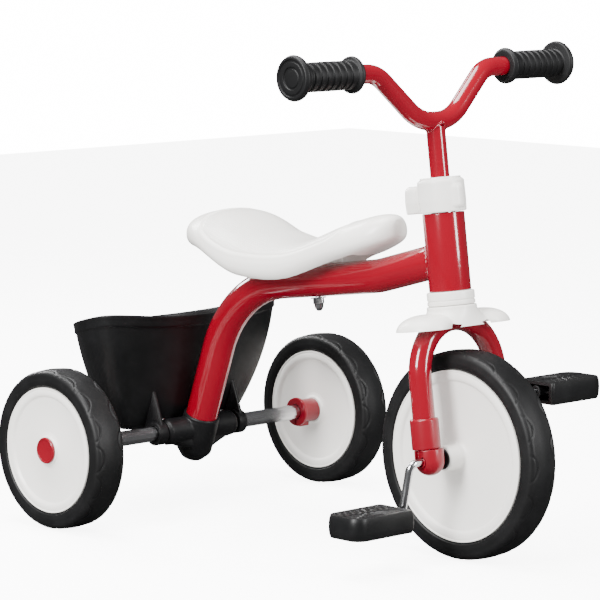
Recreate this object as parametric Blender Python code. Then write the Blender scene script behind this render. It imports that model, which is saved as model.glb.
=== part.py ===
"""Children's tricycle, as an assembly of separate pieces.

Frame: +X is the way it travels, +Y the rider's left, +Z up. Sizes are in metres. The ground is z = 0
and the origin is at the middle of the whole object's box, on the ground.

Distances along X are first given from the rear axle, and ORIGIN_X then moves the origin.
The fork, handlebar and front wheel are laid out in the steering frame: "ahead" of the steering axis,
"across" it (the same as Y) and "up" it, from the point of the axis that is level with the front axle.
"""

import math

import bmesh
import bpy
from mathutils import Matrix, Vector

# ---- Overall layout
WHEELBASE = 0.419
REAR_TRACK = 0.4013
FRONT_TYRE_RADIUS = 0.110
REAR_TYRE_RADIUS = 0.0877
TYRE_WIDTH = 0.040
STEERING_TILT = math.radians(7.6)
STEERING_RAKE = 0.003
CRANK_ANGLE = math.radians(12.0)

# ---- Fits
GAP = 0.0003
RUNNING_GAP = 0.0005
ROUND = 24
ROUND_TUBE = 16
ROUND_SMALL = 12

# ---- Wheels
FRONT_DISC_RADIUS = 0.0901
REAR_DISC_RADIUS = 0.0686
WHEEL_FACE = 0.0192
WHEEL_WALL = 0.0026
DISH_DEPTH = 0.0035
DISH_START = 0.85
FRONT_BOSS_RADIUS = 0.0130
FRONT_BOSS_REACH = 0.0372

# ---- Rear axle and what holds it
AXLE_RADIUS = 0.0085
AXLE_WALL = 0.0015
REAR_BOSS_RADIUS = AXLE_RADIUS + 0.0067
HUB_CAP_RADIUS = 0.0144
HUB_CAP_HEIGHT = 0.0028
HUB_CAP_PLUG = 0.012
STOP_BUSH_RADIUS = AXLE_RADIUS + 0.0049
STOP_BUSH_LENGTH = 0.027
STOP_BUSH_FLANGE_RADIUS = STOP_BUSH_RADIUS + 0.0031
STOP_BUSH_FLANGE = 0.004
BRACKET_SLEEVE_RADIUS = AXLE_RADIUS + 0.0060
BRACKET_HALF_WIDTH = 0.052
BRACKET_WALL = 0.0024
BRACKET_TOP_Z = REAR_TYRE_RADIUS + 0.0160
BRACKET_KEEL_Z = REAR_TYRE_RADIUS - 0.0357

# ---- Frame tubes
MAIN_TUBE_RADIUS = 0.018
MAIN_TUBE_WALL = 0.0015
DOWN_TUBE_LEAN = math.radians(19.7)
DOWN_TUBE_AXLE_OFFSET = 0.0025
DOWN_TUBE_BOTTOM_Z = REAR_TYRE_RADIUS - 0.0257
SEAT_RUN_SLOPE = math.radians(7.7)
KINK_X = WHEELBASE - 0.129
HEAD_RUN_SLOPE = math.radians(15.5)
HEAD_RUN_MEET = 0.0339
REAR_BEND_RADIUS = 0.130
KINK_RADIUS = 0.120

# ---- Fork. Heights in this block and the next two are up the steering axis
TYRE_CLEARANCE = 0.01955
FORK_RADIUS = 0.01175
FORK_WALL = 0.0018
FORK_HALF_SPREAD = 0.056
FORK_TOP = FRONT_TYRE_RADIUS + TYRE_CLEARANCE + FORK_RADIUS
FORK_END_RADIUS = FORK_RADIUS + 0.00325
FORK_END_HIGH = 0.0440
FORK_END_LOW = 0.0122
FORK_CAP_RADIUS = FORK_END_RADIUS + 0.0003
FORK_FOOT_DEPTH = 0.026
BUSH_FLANGE_RADIUS = 0.01135
BUSH_SLEEVE_RADIUS = 0.0062

# ---- Head tube, headset, collar and crown cover
HEAD_TUBE_RADIUS = 0.022
HEAD_TUBE_WALL = 0.0020
HEAD_TUBE_LOW = FORK_TOP + FORK_RADIUS + 0.01815
HEAD_TUBE_HIGH = HEAD_TUBE_LOW + 0.0814
STEERER_RADIUS = 0.0128
STEERER_WALL = 0.0022
STEERER_LOW = FORK_TOP - 0.0013
STEERER_HIGH = HEAD_TUBE_HIGH + 0.0274
LOWER_BEARING_RADIUS = 0.0250
LOWER_BEARING_HEIGHT = 0.0145
BEARING_DEPTH = 0.014
COLLAR_RADIUS = 0.0250
COLLAR_HEIGHT = 0.0345
COLLAR_LIP_RADIUS = 0.0215
COLLAR_LIP_HEIGHT = 0.0020
COLLAR_BOSS_REACH = 0.0360
COLLAR_BOSS_RADIUS = 0.0135
COLLAR_SLOT_WIDTH = 0.0016
COLLAR_SLOT_HEIGHT = 0.010
COVER_NECK_RADIUS = LOWER_BEARING_RADIUS + 0.0012
COVER_NECK_HEIGHT = 0.005
COVER_SHOULDER_DROP = 0.0046
COVER_HALF_WIDTH = FORK_HALF_SPREAD + FORK_RADIUS + 0.00425
COVER_HALF_DEPTH = 0.031
COVER_RIM_HEIGHT = FORK_TOP - 0.0078
COVER_WALL = 0.0024

# ---- Handlebar
BAR_RADIUS = 0.010
BAR_WALL = 0.0015
BAR_HALF_WIDTH = 0.1962
BAR_LOW = HEAD_TUBE_HIGH + 0.0954
BAR_HIGH = BAR_LOW + 0.0527
BAR_SHOULDER = 0.0807
BAR_VALLEY = 0.0235
BAR_SHOULDER_RADIUS = 0.034
BAR_VALLEY_RADIUS = 0.050
STEM_LOW = HEAD_TUBE_HIGH - 0.0376
GRIP_INNER = 0.1105
GRIP_OUTER = 0.2000
GRIP_RADIUS = BAR_RADIUS + 0.0048
GRIP_INNER_FLANGE_RADIUS = 0.0193
GRIP_OUTER_FLANGE_RADIUS = 0.0235
GRIP_FLANGE = 0.008
GRIP_RIBS = 8
GRIP_RIB_DEPTH = 0.0013
GRIP_END_WALL = 0.003

# ---- Crank and pedals
CRANK_RADIUS = 0.0040
CRANK_THROW = 0.058
CRANK_PLANE = FORK_HALF_SPREAD + FORK_CAP_RADIUS + 0.0137
CRANK_BEND_RADIUS = 0.009
CRANK_END_BEND = 0.005
CRANK_END_SHORT = 0.012
CRANK_EAR_REACH = 0.0085
CRANK_EAR_WIDTH = 0.0030
CRANK_EAR_LENGTH = 0.016
PEDAL_LENGTH = 0.0830
PEDAL_DEPTH = 0.0500
PEDAL_HEIGHT = 0.0245
PEDAL_WALL = 0.0026
PEDAL_HUB_RADIUS = 0.0070
PEDAL_OUTER_ROUND = 0.014
PEDAL_INNER = CRANK_PLANE + CRANK_RADIUS + 0.0015

# ---- Basket: nearly flat in front and round behind, wider at its rim than at its floor
BASKET_WALL = 0.0025
BASKET_FLOOR_Z = REAR_TYRE_RADIUS + 0.0018
BASKET_RIM_Z = BASKET_FLOOR_Z + 0.1290
BASKET_RIM_RISE = 0.0135
BASKET_RIM_DROP = 0.0185
BASKET_RIM_BAND = 0.0115
BASKET_RIM_STEP = 0.0014
BASKET_TOP_HALF_WIDTH = 0.1320
BASKET_TOP_FRONT = 0.0300 - MAIN_TUBE_RADIUS
BASKET_TOP_BACK = -0.1180
BASKET_TOP_FRONT_DEPTH = 0.046
BASKET_FLOOR_HALF_WIDTH = 0.0840
BASKET_FLOOR_FRONT = -0.0005 - MAIN_TUBE_RADIUS
BASKET_FLOOR_BACK = -0.0930
BASKET_FLOOR_FRONT_DEPTH = 0.022
BASKET_FRONT_SQUARENESS = 3.6
BASKET_BACK_SQUARENESS = 2.1
BASKET_SIDE_BELLY = 0.009
BASKET_FRONT_BELLY = 0.005
BASKET_RING_Y = 0.0600
BASKET_RING_WIDTH = 0.012
BASKET_RING_RADIUS = AXLE_RADIUS + 0.0050
BASKET_FIN_TOP_Z = BASKET_FLOOR_Z + 0.0505
BASKET_FIN_WIDTH = 0.004
BASKET_CLEARANCE = 0.0010

# ---- Seat. The lists run evenly from its rear end to its nose, and its tops are above the place of its bolt
SEAT_REAR_X = 0.006
SEAT_FRONT_X = 0.3190
SEAT_HALF_WIDTHS = (0.068, 0.076, 0.066, 0.054, 0.045, 0.056)
SEAT_TOPS = (0.0635, 0.0705, 0.0511, 0.0450, 0.0700, 0.0905)
SEAT_CROWNS = (0.002, 0.008, 0.002, 0.014)
SEAT_THICKNESSES = (0.048, 0.053, 0.045, 0.047)
SEAT_END_SQUARENESS = 2.2
SEAT_SIDE_POWER = 0.75
SEAT_TOP_POWER = 0.85
SEAT_WALL = 0.0035
SEAT_LIP = 0.010
SEAT_HOLLOW_START = 0.08
SEAT_BOSS_RADIUS = 0.015
SEAT_BOLT_X = 0.194
SEAT_BOLT_RADIUS = 0.003
SEAT_BOLT_HEAD_RADIUS = 0.0060
SEAT_BOLT_HEAD_HEIGHT = 0.0032
SEAT_BOLT_GRIP = 0.008
SEAT_NUT_RADIUS = 0.0065
SEAT_NUT_HEIGHT = 0.0150

# ---- Fasteners
SCREW_HEAD_RADIUS = 0.0040
SCREW_HEAD_HEIGHT = 0.0024
SCREW_SLANT = math.radians(40)
COLLAR_BOLT_RADIUS = 0.0025
COLLAR_BOLT_HEAD = 0.0032
COLLAR_BOLT_WALL = 0.0040

ORIGIN_X = ((WHEELBASE + FRONT_TYRE_RADIUS) + (BASKET_TOP_BACK - BASKET_RIM_STEP)) / 2

# ---- Derived places
SIDES = {"right": -1, "left": 1}
FRONT_AXLE = Vector((WHEELBASE - ORIGIN_X, 0, FRONT_TYRE_RADIUS))
REAR_AXLE = Vector((-ORIGIN_X, 0, REAR_TYRE_RADIUS))
AHEAD = Vector((math.cos(STEERING_TILT), 0, math.sin(STEERING_TILT)))
UP = Vector((-math.sin(STEERING_TILT), 0, math.cos(STEERING_TILT)))
ACROSS = Vector((0, 1, 0))
STEERING_FOOT = FRONT_AXLE - STEERING_RAKE * AHEAD


def from_axle(x, y, z):
    """The point that is x ahead of the rear axle, in the frame of the whole object."""
    return Vector((x - ORIGIN_X, y, z))


def on_steering(ahead, across, up):
    """The point of the steering frame, in the frame of the whole object."""
    return STEERING_FOOT + ahead * AHEAD + across * ACROSS + up * UP


# ---- Scene, materials and objects


def clear_scene():
    for item in list(bpy.data.objects):
        bpy.data.objects.remove(item, do_unlink=True)


def material(name, colour, roughness, metallic=0.0):
    made = bpy.data.materials.new(name)
    made.use_nodes = True
    shader = made.node_tree.nodes["Principled BSDF"]
    shader.inputs["Base Color"].default_value = (*colour, 1.0)
    shader.inputs["Roughness"].default_value = roughness
    shader.inputs["Metallic"].default_value = metallic
    return made


COLOURS = {
    "red_paint": ((0.55, 0.008, 0.028), 0.18, 0.0),
    "red_plastic": ((0.50, 0.006, 0.024), 0.32, 0.0),
    "white_plastic": ((0.90, 0.86, 0.79), 0.35, 0.0),
    "black_plastic": ((0.018, 0.018, 0.019), 0.42, 0.0),
    "black_rubber": ((0.015, 0.015, 0.016), 0.62, 0.0),
    "tyre_rubber": ((0.020, 0.020, 0.021), 0.55, 0.0),
    "steel": ((0.60, 0.60, 0.60), 0.22, 1.0),
}


def pivot(name, place, parent=None):
    """An empty that stands on a joint's axis and carries what moves with it."""
    empty = bpy.data.objects.new(name, None)
    empty.empty_display_size = 0.03
    bpy.context.collection.objects.link(empty)
    empty.parent = parent
    start = parent["place"] if parent else (0, 0, 0)
    empty.location = place - Vector(start)
    empty["place"] = tuple(place)
    return empty


def solid(name, mesh, look, carrier):
    """Turns a bmesh in the frame of the whole object into a named object on its carrier."""
    bmesh.ops.recalc_face_normals(mesh, faces=mesh.faces)
    place = Vector(carrier["place"])
    bmesh.ops.translate(mesh, verts=mesh.verts, vec=-place)
    data = bpy.data.meshes.new(name)
    mesh.to_mesh(data)
    mesh.free()
    data.shade_smooth()
    data.set_sharp_from_angle(angle=math.radians(32))
    made = bpy.data.objects.new(name, data)
    bpy.context.collection.objects.link(made)
    colour, roughness, metallic = COLOURS[look]
    data.materials.append(material(name, colour, roughness, metallic))
    made.parent = carrier
    return made


def helper(name, mesh, carrier):
    """A cutter or a shape to be joined: it is never a piece by itself."""
    made = solid(name, mesh, "steel", carrier)
    made.hide_render = True
    made.display_type = "WIRE"
    return made


def boolean(target, other, operation):
    step = target.modifiers.new(operation.title() + " " + other.name, "BOOLEAN")
    step.operation = operation
    step.solver = "EXACT"
    step.object = other


# ---- Shapes


def hole(radius, count):
    """The corner radius of a many-sided hole that clears a round of this radius."""
    return radius / math.cos(math.pi / count)


def basis(axis):
    """Two unit vectors square to an axis. Half a step of turn puts a flat side downwards."""
    axis = axis.normalized()
    side = ACROSS.cross(axis)
    if side.length < 0.1:
        side = Vector((1, 0, 0))
    side.normalize()
    return side, axis.cross(side).normalized()


def turned(profile, start, axis, count, mesh=None):
    """A closed outline of (radius, distance) corners turned about an axis."""
    mesh = mesh or bmesh.new()
    axis = axis.normalized()
    side, other = basis(axis)
    rings = []
    for radius, along in profile:
        centre = start + along * axis
        if radius < 1e-7:
            rings.append([mesh.verts.new(centre)])
            continue
        ring = []
        for step in range(count):
            angle = 2 * math.pi * (step + 0.5) / count
            ring.append(mesh.verts.new(centre + radius * (math.cos(angle) * side + math.sin(angle) * other)))
        rings.append(ring)
    for first, second in zip(rings, rings[1:] + rings[:1]):
        join_rings(mesh, first, second)
    return mesh


def join_rings(mesh, first, second):
    if len(first) == 1 and len(second) == 1:
        return
    if len(first) == 1:
        first, second = second, first
    count = len(first)
    for step in range(count):
        after = (step + 1) % count
        if len(second) == 1:
            mesh.faces.new((first[step], first[after], second[0]))
        else:
            mesh.faces.new((first[step], first[after], second[after], second[step]))


def lofted(loops, closed_ends=True, mesh=None):
    """Joins loops of points, all with the same count, and closes both ends or the whole into a ring."""
    mesh = mesh or bmesh.new()
    rings = [[mesh.verts.new(point) for point in loop] for loop in loops]
    for first, second in zip(rings, rings[1:]):
        join_rings(mesh, first, second)
    if closed_ends:
        mesh.faces.new(rings[0])
        mesh.faces.new(rings[-1])
    else:
        join_rings(mesh, rings[-1], rings[0])
    return mesh


def rounded_route(corners, radii, step_angle=math.radians(12)):
    """A route through corners, each rounded to its radius. The ends have no radius."""
    route = [corners[0]]
    for before, corner, after, radius in zip(corners, corners[1:], corners[2:], radii):
        inward = (before - corner).normalized()
        outward = (after - corner).normalized()
        turn = math.pi - inward.angle(outward)
        reach = radius * math.tan(turn / 2)
        centre = corner + (inward + outward).normalized() * (radius / math.cos(turn / 2))
        first = corner + reach * inward - centre
        normal = (-inward).cross(outward).normalized()
        steps = max(2, round(turn / step_angle))
        for step in range(steps + 1):
            route.append(centre + Matrix.Rotation(turn * step / steps, 3, normal) @ first)
    route.append(corners[-1])
    # Two bends that meet share a point.
    kept = [route[0]]
    for point in route[1:]:
        if (point - kept[-1]).length > 1e-4:
            kept.append(point)
    return kept


def tube(route, radius, wall, count, normal):
    """A tube along a flat route. Without a wall it is a solid rod. normal is square to the route's plane."""
    normal = normal.normalized()
    loops = []
    frames = []
    for index, point in enumerate(route):
        before = route[max(index - 1, 0)]
        after = route[min(index + 1, len(route) - 1)]
        ahead = (point - before).normalized() + (after - point).normalized()
        frames.append((point, normal.cross(ahead.normalized())))

    def ring(place, side, size):
        turns = [2 * math.pi * (step + 0.5) / count for step in range(count)]
        return [place + size * (math.cos(turn) * side + math.sin(turn) * normal) for turn in turns]

    loops = [ring(place, side, radius) for place, side in frames]
    if not wall:
        return lofted(loops)
    loops += [ring(place, side, radius - wall) for place, side in reversed(frames)]
    return lofted(loops, closed_ends=False)


def rod(start, end, radius, count=ROUND_SMALL):
    """A plain round bar between two points."""
    axis = end - start
    profile = [(0, 0), (radius, 0), (radius, axis.length), (0, axis.length)]
    return turned(profile, start, axis, count)


def block(low, high):
    """A box with its faces along the axes of the whole object."""
    mesh = bmesh.new()
    bmesh.ops.create_cube(mesh, size=1.0)
    size = Vector(high) - Vector(low)
    middle = (Vector(high) + Vector(low)) / 2
    bmesh.ops.scale(mesh, vec=size, verts=mesh.verts)
    bmesh.ops.translate(mesh, vec=middle, verts=mesh.verts)
    return mesh


def plate(outline, depth):
    """An outline of points in one plane, thickened both ways to a full depth along a vector."""
    return lofted([[point - depth / 2 for point in outline], [point + depth / 2 for point in outline]])


# ---- Rear wheels, axle and bracket


def tyre_profile(radius, seat):
    """Half the width either way, with rounded shoulders and a flat tread."""
    half = TYRE_WIDTH / 2
    upper = [
        (seat, half - 0.0030),
        (seat + 0.0030, half),
        (radius - 0.0085, half),
        (radius - 0.0022, half - 0.0030),
        (radius, half - 0.0085),
    ]
    return upper + [(size, -along) for size, along in reversed(upper)]


def tyre(name, centre, radius, disc_radius, carrier):
    turns = [(hole(size, ROUND), along) for size, along in tyre_profile(radius, disc_radius + GAP)]
    return solid(name, turned(turns, centre, ACROSS, ROUND), "tyre_rubber", carrier)


def wheel_shell(name, centre, side, disc_radius, bore, boss_radius, boss_reach, carrier):
    """One dished half of a hollow disc wheel: rim, recessed face, boss and bore."""
    face = WHEEL_FACE
    recess = face - DISH_DEPTH
    wall = WHEEL_WALL
    step = DISH_START * disc_radius
    start = GAP / 2
    profile = [
        (bore, start),
        (bore, boss_reach),
        (boss_radius, boss_reach),
        (boss_radius + 0.0035, recess),
        (step, recess),
        (step + 0.0030, face),
        (disc_radius, face),
        (disc_radius, start),
        (disc_radius - wall, start),
        (step - wall, recess - wall),
        (bore + wall, recess - wall),
        (bore + wall, start),
    ]
    turns = [(hole(size, ROUND), along) for size, along in profile]
    return solid(name, turned(turns, centre, side * ACROSS, ROUND), "white_plastic", carrier)


def rear_wheels(frame):
    for name, side in SIDES.items():
        centre = REAR_AXLE + Vector((0, side * REAR_TRACK / 2, 0))
        wheel = pivot("rear_wheel_" + name, centre, frame)
        tyre("rear_tyre_" + name, centre, REAR_TYRE_RADIUS, REAR_DISC_RADIUS, wheel)
        for half, facing in (("outer", side), ("inner", -side)):
            wheel_shell(
                "rear_wheel_" + half + "_shell_" + name,
                centre,
                facing,
                REAR_DISC_RADIUS,
                AXLE_RADIUS + RUNNING_GAP,
                REAR_BOSS_RADIUS,
                WHEEL_FACE,
                wheel,
            )
        rear_axle_ends(name, side, centre, frame)


def rear_axle_ends(name, side, centre, frame):
    """A cap pressed into the axle's end, and a stop bush that keeps the wheel out on the axle."""
    outward = side * ACROSS
    bore = AXLE_RADIUS - AXLE_WALL - GAP
    start = WHEEL_FACE + RUNNING_GAP
    cap = [
        (0, start - HUB_CAP_PLUG),
        (bore, start - HUB_CAP_PLUG),
        (bore, start),
        (HUB_CAP_RADIUS, start),
        (HUB_CAP_RADIUS, start + HUB_CAP_HEIGHT / 2),
        (HUB_CAP_RADIUS - HUB_CAP_HEIGHT / 2, start + HUB_CAP_HEIGHT),
        (0, start + HUB_CAP_HEIGHT),
    ]
    solid("hub_cap_" + name, turned(cap, centre, outward, ROUND_SMALL), "red_plastic", frame)
    inner = hole(AXLE_RADIUS + GAP, ROUND_SMALL)
    low = WHEEL_FACE + RUNNING_GAP
    bush = [
        (inner, low),
        (STOP_BUSH_RADIUS, low),
        (STOP_BUSH_RADIUS, low + STOP_BUSH_LENGTH - STOP_BUSH_FLANGE),
        (STOP_BUSH_FLANGE_RADIUS, low + STOP_BUSH_LENGTH - STOP_BUSH_FLANGE),
        (STOP_BUSH_FLANGE_RADIUS, low + STOP_BUSH_LENGTH),
        (inner, low + STOP_BUSH_LENGTH),
    ]
    solid("stop_bush_" + name, turned(bush, centre, -outward, ROUND_SMALL), "red_plastic", frame)


def rear_axle(frame):
    half = Vector((0, REAR_TRACK / 2 + WHEEL_FACE, 0))
    inner = AXLE_RADIUS - AXLE_WALL
    length = 2 * half.y
    profile = [(inner, 0), (AXLE_RADIUS, 0), (AXLE_RADIUS, length), (inner, length)]
    solid("rear_axle", turned(profile, REAR_AXLE - half, ACROSS, ROUND_SMALL), "steel", frame)


def down_tube_point(height):
    """The centre of the down tube at a height above the ground."""
    lean = math.tan(DOWN_TUBE_LEAN)
    return from_axle(DOWN_TUBE_AXLE_OFFSET + (height - REAR_TYRE_RADIUS) * lean, 0, height)


def down_tube_direction():
    return Vector((math.sin(DOWN_TUBE_LEAN), 0, math.cos(DOWN_TUBE_LEAN)))


def axle_drill(name, radius, carrier):
    """A cutter along the rear axle, longer than the bracket and the basket are wide."""
    half = Vector((0, REAR_TRACK / 2, 0))
    return helper(name, rod(REAR_AXLE - half, REAR_AXLE + half, hole(radius, ROUND_SMALL)), carrier)


def rear_bracket(frame):
    """A moulded cup round the foot of the down tube, with a sleeve each way along the axle."""
    along = down_tube_direction()
    top = down_tube_point(BRACKET_TOP_Z)
    outer = MAIN_TUBE_RADIUS + GAP + BRACKET_WALL
    depth = (BRACKET_TOP_Z - BRACKET_KEEL_Z) / math.cos(DOWN_TUBE_LEAN)
    cup = [
        (0, -depth),
        (0.55 * outer, -depth + 0.0010),
        (0.86 * outer, -depth + 0.0055),
        (outer, -depth + 0.0125),
        (outer, 0),
        (0, 0),
    ]
    bracket = solid("rear_bracket", turned(cup, top, along, ROUND), "black_plastic", frame)
    half = Vector((0, BRACKET_HALF_WIDTH, 0))
    sleeve_mesh = rod(REAR_AXLE - half, REAR_AXLE + half, BRACKET_SLEEVE_RADIUS, ROUND)
    sleeve = helper("bracket_sleeve", sleeve_mesh, frame)
    boolean(bracket, sleeve, "UNION")
    floor = down_tube_point(DOWN_TUBE_BOTTOM_Z) - GAP * along
    socket = helper("bracket_socket", rod(floor, top + 0.05 * along, socket_radius(), ROUND_TUBE), frame)
    boolean(bracket, socket, "DIFFERENCE")
    boolean(bracket, axle_drill("bracket_drill", AXLE_RADIUS + GAP, frame), "DIFFERENCE")


def socket_radius():
    return hole(MAIN_TUBE_RADIUS + GAP, ROUND_TUBE)


# ---- Main tube and head tube


def main_tube_corners():
    """The foot of the down tube, the two corners of the centre line, and the middle of the head tube."""
    foot = down_tube_point(DOWN_TUBE_BOTTOM_Z)
    meet = on_steering(0, 0, HEAD_TUBE_LOW + HEAD_RUN_MEET)
    kink_x = from_axle(KINK_X, 0, 0).x
    kink = Vector((kink_x, 0, meet.z - (meet.x - kink_x) * math.tan(HEAD_RUN_SLOPE)))
    # The seat run meets the down tube where both give the same height.
    rise = math.tan(SEAT_RUN_SLOPE)
    lean = math.tan(DOWN_TUBE_LEAN)
    height = (kink.z - rise * (kink.x - foot.x + foot.z * lean)) / (1 - rise * lean)
    return foot, down_tube_point(height), kink, meet


def main_tube(frame):
    corners = list(main_tube_corners())
    route = rounded_route(corners, [REAR_BEND_RADIUS, KINK_RADIUS], math.radians(9))
    mesh = tube(route, MAIN_TUBE_RADIUS, MAIN_TUBE_WALL, ROUND_TUBE, ACROSS)
    made = solid("main_tube", mesh, "red_paint", frame)
    cope_radius = hole(HEAD_TUBE_RADIUS + GAP, ROUND)
    cope_mesh = rod(on_steering(0, 0, HEAD_TUBE_LOW), on_steering(0, 0, HEAD_TUBE_HIGH), cope_radius, ROUND)
    boolean(made, helper("head_tube_cope", cope_mesh, frame), "DIFFERENCE")
    boolean(made, axle_drill("tube_drill", AXLE_RADIUS + GAP, frame), "DIFFERENCE")
    bolt = seat_bolt_place()
    hole_mesh = rod(bolt - 0.05 * seat_up(), bolt + 0.05 * seat_up(), SEAT_BOLT_RADIUS + 2 * GAP)
    boolean(made, helper("seat_bolt_drill", hole_mesh, frame), "DIFFERENCE")


def head_tube(frame):
    inner = HEAD_TUBE_RADIUS - HEAD_TUBE_WALL
    profile = [
        (inner, HEAD_TUBE_LOW),
        (HEAD_TUBE_RADIUS, HEAD_TUBE_LOW),
        (HEAD_TUBE_RADIUS, HEAD_TUBE_HIGH),
        (inner, HEAD_TUBE_HIGH),
    ]
    solid("head_tube", turned(profile, STEERING_FOOT, UP, ROUND), "red_paint", frame)


def bearing_outer():
    return (HEAD_TUBE_RADIUS - HEAD_TUBE_WALL) * math.cos(math.pi / ROUND) - GAP


def headset(frame):
    bore = hole(STEERER_RADIUS + RUNNING_GAP, ROUND)
    outer = bearing_outer()
    low = HEAD_TUBE_LOW - GAP
    lower = [
        (bore, low - LOWER_BEARING_HEIGHT),
        (LOWER_BEARING_RADIUS, low - LOWER_BEARING_HEIGHT),
        (LOWER_BEARING_RADIUS, low),
        (outer, low),
        (outer, low + BEARING_DEPTH),
        (bore, low + BEARING_DEPTH),
    ]
    solid("lower_bearing_ring", turned(lower, STEERING_FOOT, UP, ROUND), "white_plastic", frame)
    high = HEAD_TUBE_HIGH
    upper = [(bore, high - BEARING_DEPTH), (outer, high - BEARING_DEPTH), (outer, high), (bore, high)]
    solid("upper_bearing_bush", turned(upper, STEERING_FOOT, UP, ROUND), "black_plastic", frame)


# ---- Steering


def collar(steering):
    """The clamp above the head tube: a cap with a lip, a boss for its bolt and two slots."""
    low = HEAD_TUBE_HIGH + RUNNING_GAP
    high = low + COLLAR_HEIGHT
    steerer = hole(STEERER_RADIUS + GAP, ROUND)
    stem = hole(BAR_RADIUS + GAP, ROUND)
    shoulder = STEERER_HIGH + GAP
    profile = [
        (0, low),
        (COLLAR_RADIUS, low),
        (COLLAR_RADIUS, high - 0.003),
        (COLLAR_RADIUS - 0.003, high),
        (COLLAR_LIP_RADIUS, high),
        (COLLAR_LIP_RADIUS, high + COLLAR_LIP_HEIGHT),
        (0, high + COLLAR_LIP_HEIGHT),
    ]
    made = solid("clamp_collar", turned(profile, STEERING_FOOT, UP, ROUND), "white_plastic", steering)
    boss = helper("collar_boss", collar_boss_mesh(low, high), steering)
    boolean(made, boss, "UNION")
    inside = rod(on_steering(0, 0, low - 0.01), on_steering(0, 0, shoulder), steerer, ROUND)
    boolean(made, helper("collar_bore", inside, steering), "DIFFERENCE")
    through = rod(on_steering(0, 0, low), on_steering(0, 0, high + 0.01), stem, ROUND)
    boolean(made, helper("collar_stem_bore", through, steering), "DIFFERENCE")
    bottom, face = collar_bolt_ends()
    drill = rod(bottom, face + COLLAR_BOSS_RADIUS * ACROSS, COLLAR_BOLT_RADIUS + GAP)
    boolean(made, helper("collar_bolt_drill", drill, steering), "DIFFERENCE")
    for index, turn in enumerate((-58, -28)):
        slot = helper("collar_slot_%d" % index, collar_slot_mesh(math.radians(turn), low), steering)
        boolean(made, slot, "DIFFERENCE")


def collar_boss_mesh(low, high):
    """A boss that stands out behind the collar, round as seen from above and domed on top."""
    middle = -COLLAR_BOSS_REACH
    base = low + 0.0006
    loops = []
    for height, share in ((base, 1.0), (high - 0.010, 1.0), (high - 0.005, 0.86), (high - 0.0025, 0.6)):
        loop = []
        for step in range(ROUND_SMALL):
            angle = 2 * math.pi * (step + 0.5) / ROUND_SMALL
            ahead = middle + share * COLLAR_BOSS_RADIUS * math.cos(angle)
            across = share * COLLAR_BOSS_RADIUS * math.sin(angle)
            if math.cos(angle) > 0:
                ahead = middle + 0.016
            loop.append(on_steering(ahead, across, height))
        loops.append(loop)
    return lofted(loops)


def collar_bolt_ends():
    """The bottom of the bolt's hole and the face of the boss that it enters, on the rider's left."""
    height = HEAD_TUBE_HIGH + RUNNING_GAP + COLLAR_HEIGHT / 2
    bottom = on_steering(-COLLAR_BOSS_REACH, COLLAR_BOLT_WALL - COLLAR_BOSS_RADIUS, height)
    return bottom, on_steering(-COLLAR_BOSS_REACH, COLLAR_BOSS_RADIUS, height)


def collar_slot_mesh(turn, low):
    """A short upright slot in the collar's lower edge, on the rider's right."""
    outward = Vector((math.sin(turn), -math.cos(turn)))
    sideways = Vector((outward.y, -outward.x))
    loops = []
    for height in (low - 0.002, low + COLLAR_SLOT_HEIGHT):
        loop = []
        for reach, shift in ((0.017, -1), (0.030, -1), (0.030, 1), (0.017, 1)):
            spot = reach * outward + shift * COLLAR_SLOT_WIDTH / 2 * sideways
            loop.append(on_steering(spot.x, spot.y, height))
        loops.append(loop)
    return lofted(loops)


def collar_bolt(steering):
    bottom, face = collar_bolt_ends()
    length = (face - bottom).length
    head = 2 * COLLAR_BOLT_RADIUS
    profile = [
        (0, GAP),
        (COLLAR_BOLT_RADIUS, GAP),
        (COLLAR_BOLT_RADIUS, length + GAP),
        (head, length + GAP),
        (head, length + COLLAR_BOLT_HEAD),
        (0, length + COLLAR_BOLT_HEAD),
    ]
    solid("collar_bolt", turned(profile, bottom, ACROSS, ROUND_SMALL), "steel", steering)


def fork_route():
    """Up one leg, over the arch and down the other."""
    corners = [
        on_steering(0, -FORK_HALF_SPREAD, FORK_FOOT_DEPTH),
        on_steering(0, -FORK_HALF_SPREAD, FORK_TOP),
        on_steering(0, FORK_HALF_SPREAD, FORK_TOP),
        on_steering(0, FORK_HALF_SPREAD, FORK_FOOT_DEPTH),
    ]
    # The two bends meet at the top with no straight between them.
    radius = FORK_HALF_SPREAD - 1e-5
    return rounded_route(corners, [radius, radius], math.radians(18))


def fork(steering):
    """The steerer tube, and the bent tube whose two legs straddle the wheel."""
    inner = STEERER_RADIUS - STEERER_WALL
    profile = [
        (inner, STEERER_LOW),
        (STEERER_RADIUS, STEERER_LOW),
        (STEERER_RADIUS, STEERER_HIGH),
        (inner, STEERER_HIGH),
    ]
    steerer = solid("steerer_tube", turned(profile, STEERING_FOOT, UP, ROUND), "steel", steering)
    route = fork_route()
    solid("fork_tube", tube(route, FORK_RADIUS, FORK_WALL, ROUND_SMALL, AHEAD), "red_paint", steering)
    boolean(steerer, helper("steerer_cope", fork_envelope(GAP), steering), "DIFFERENCE")


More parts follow.
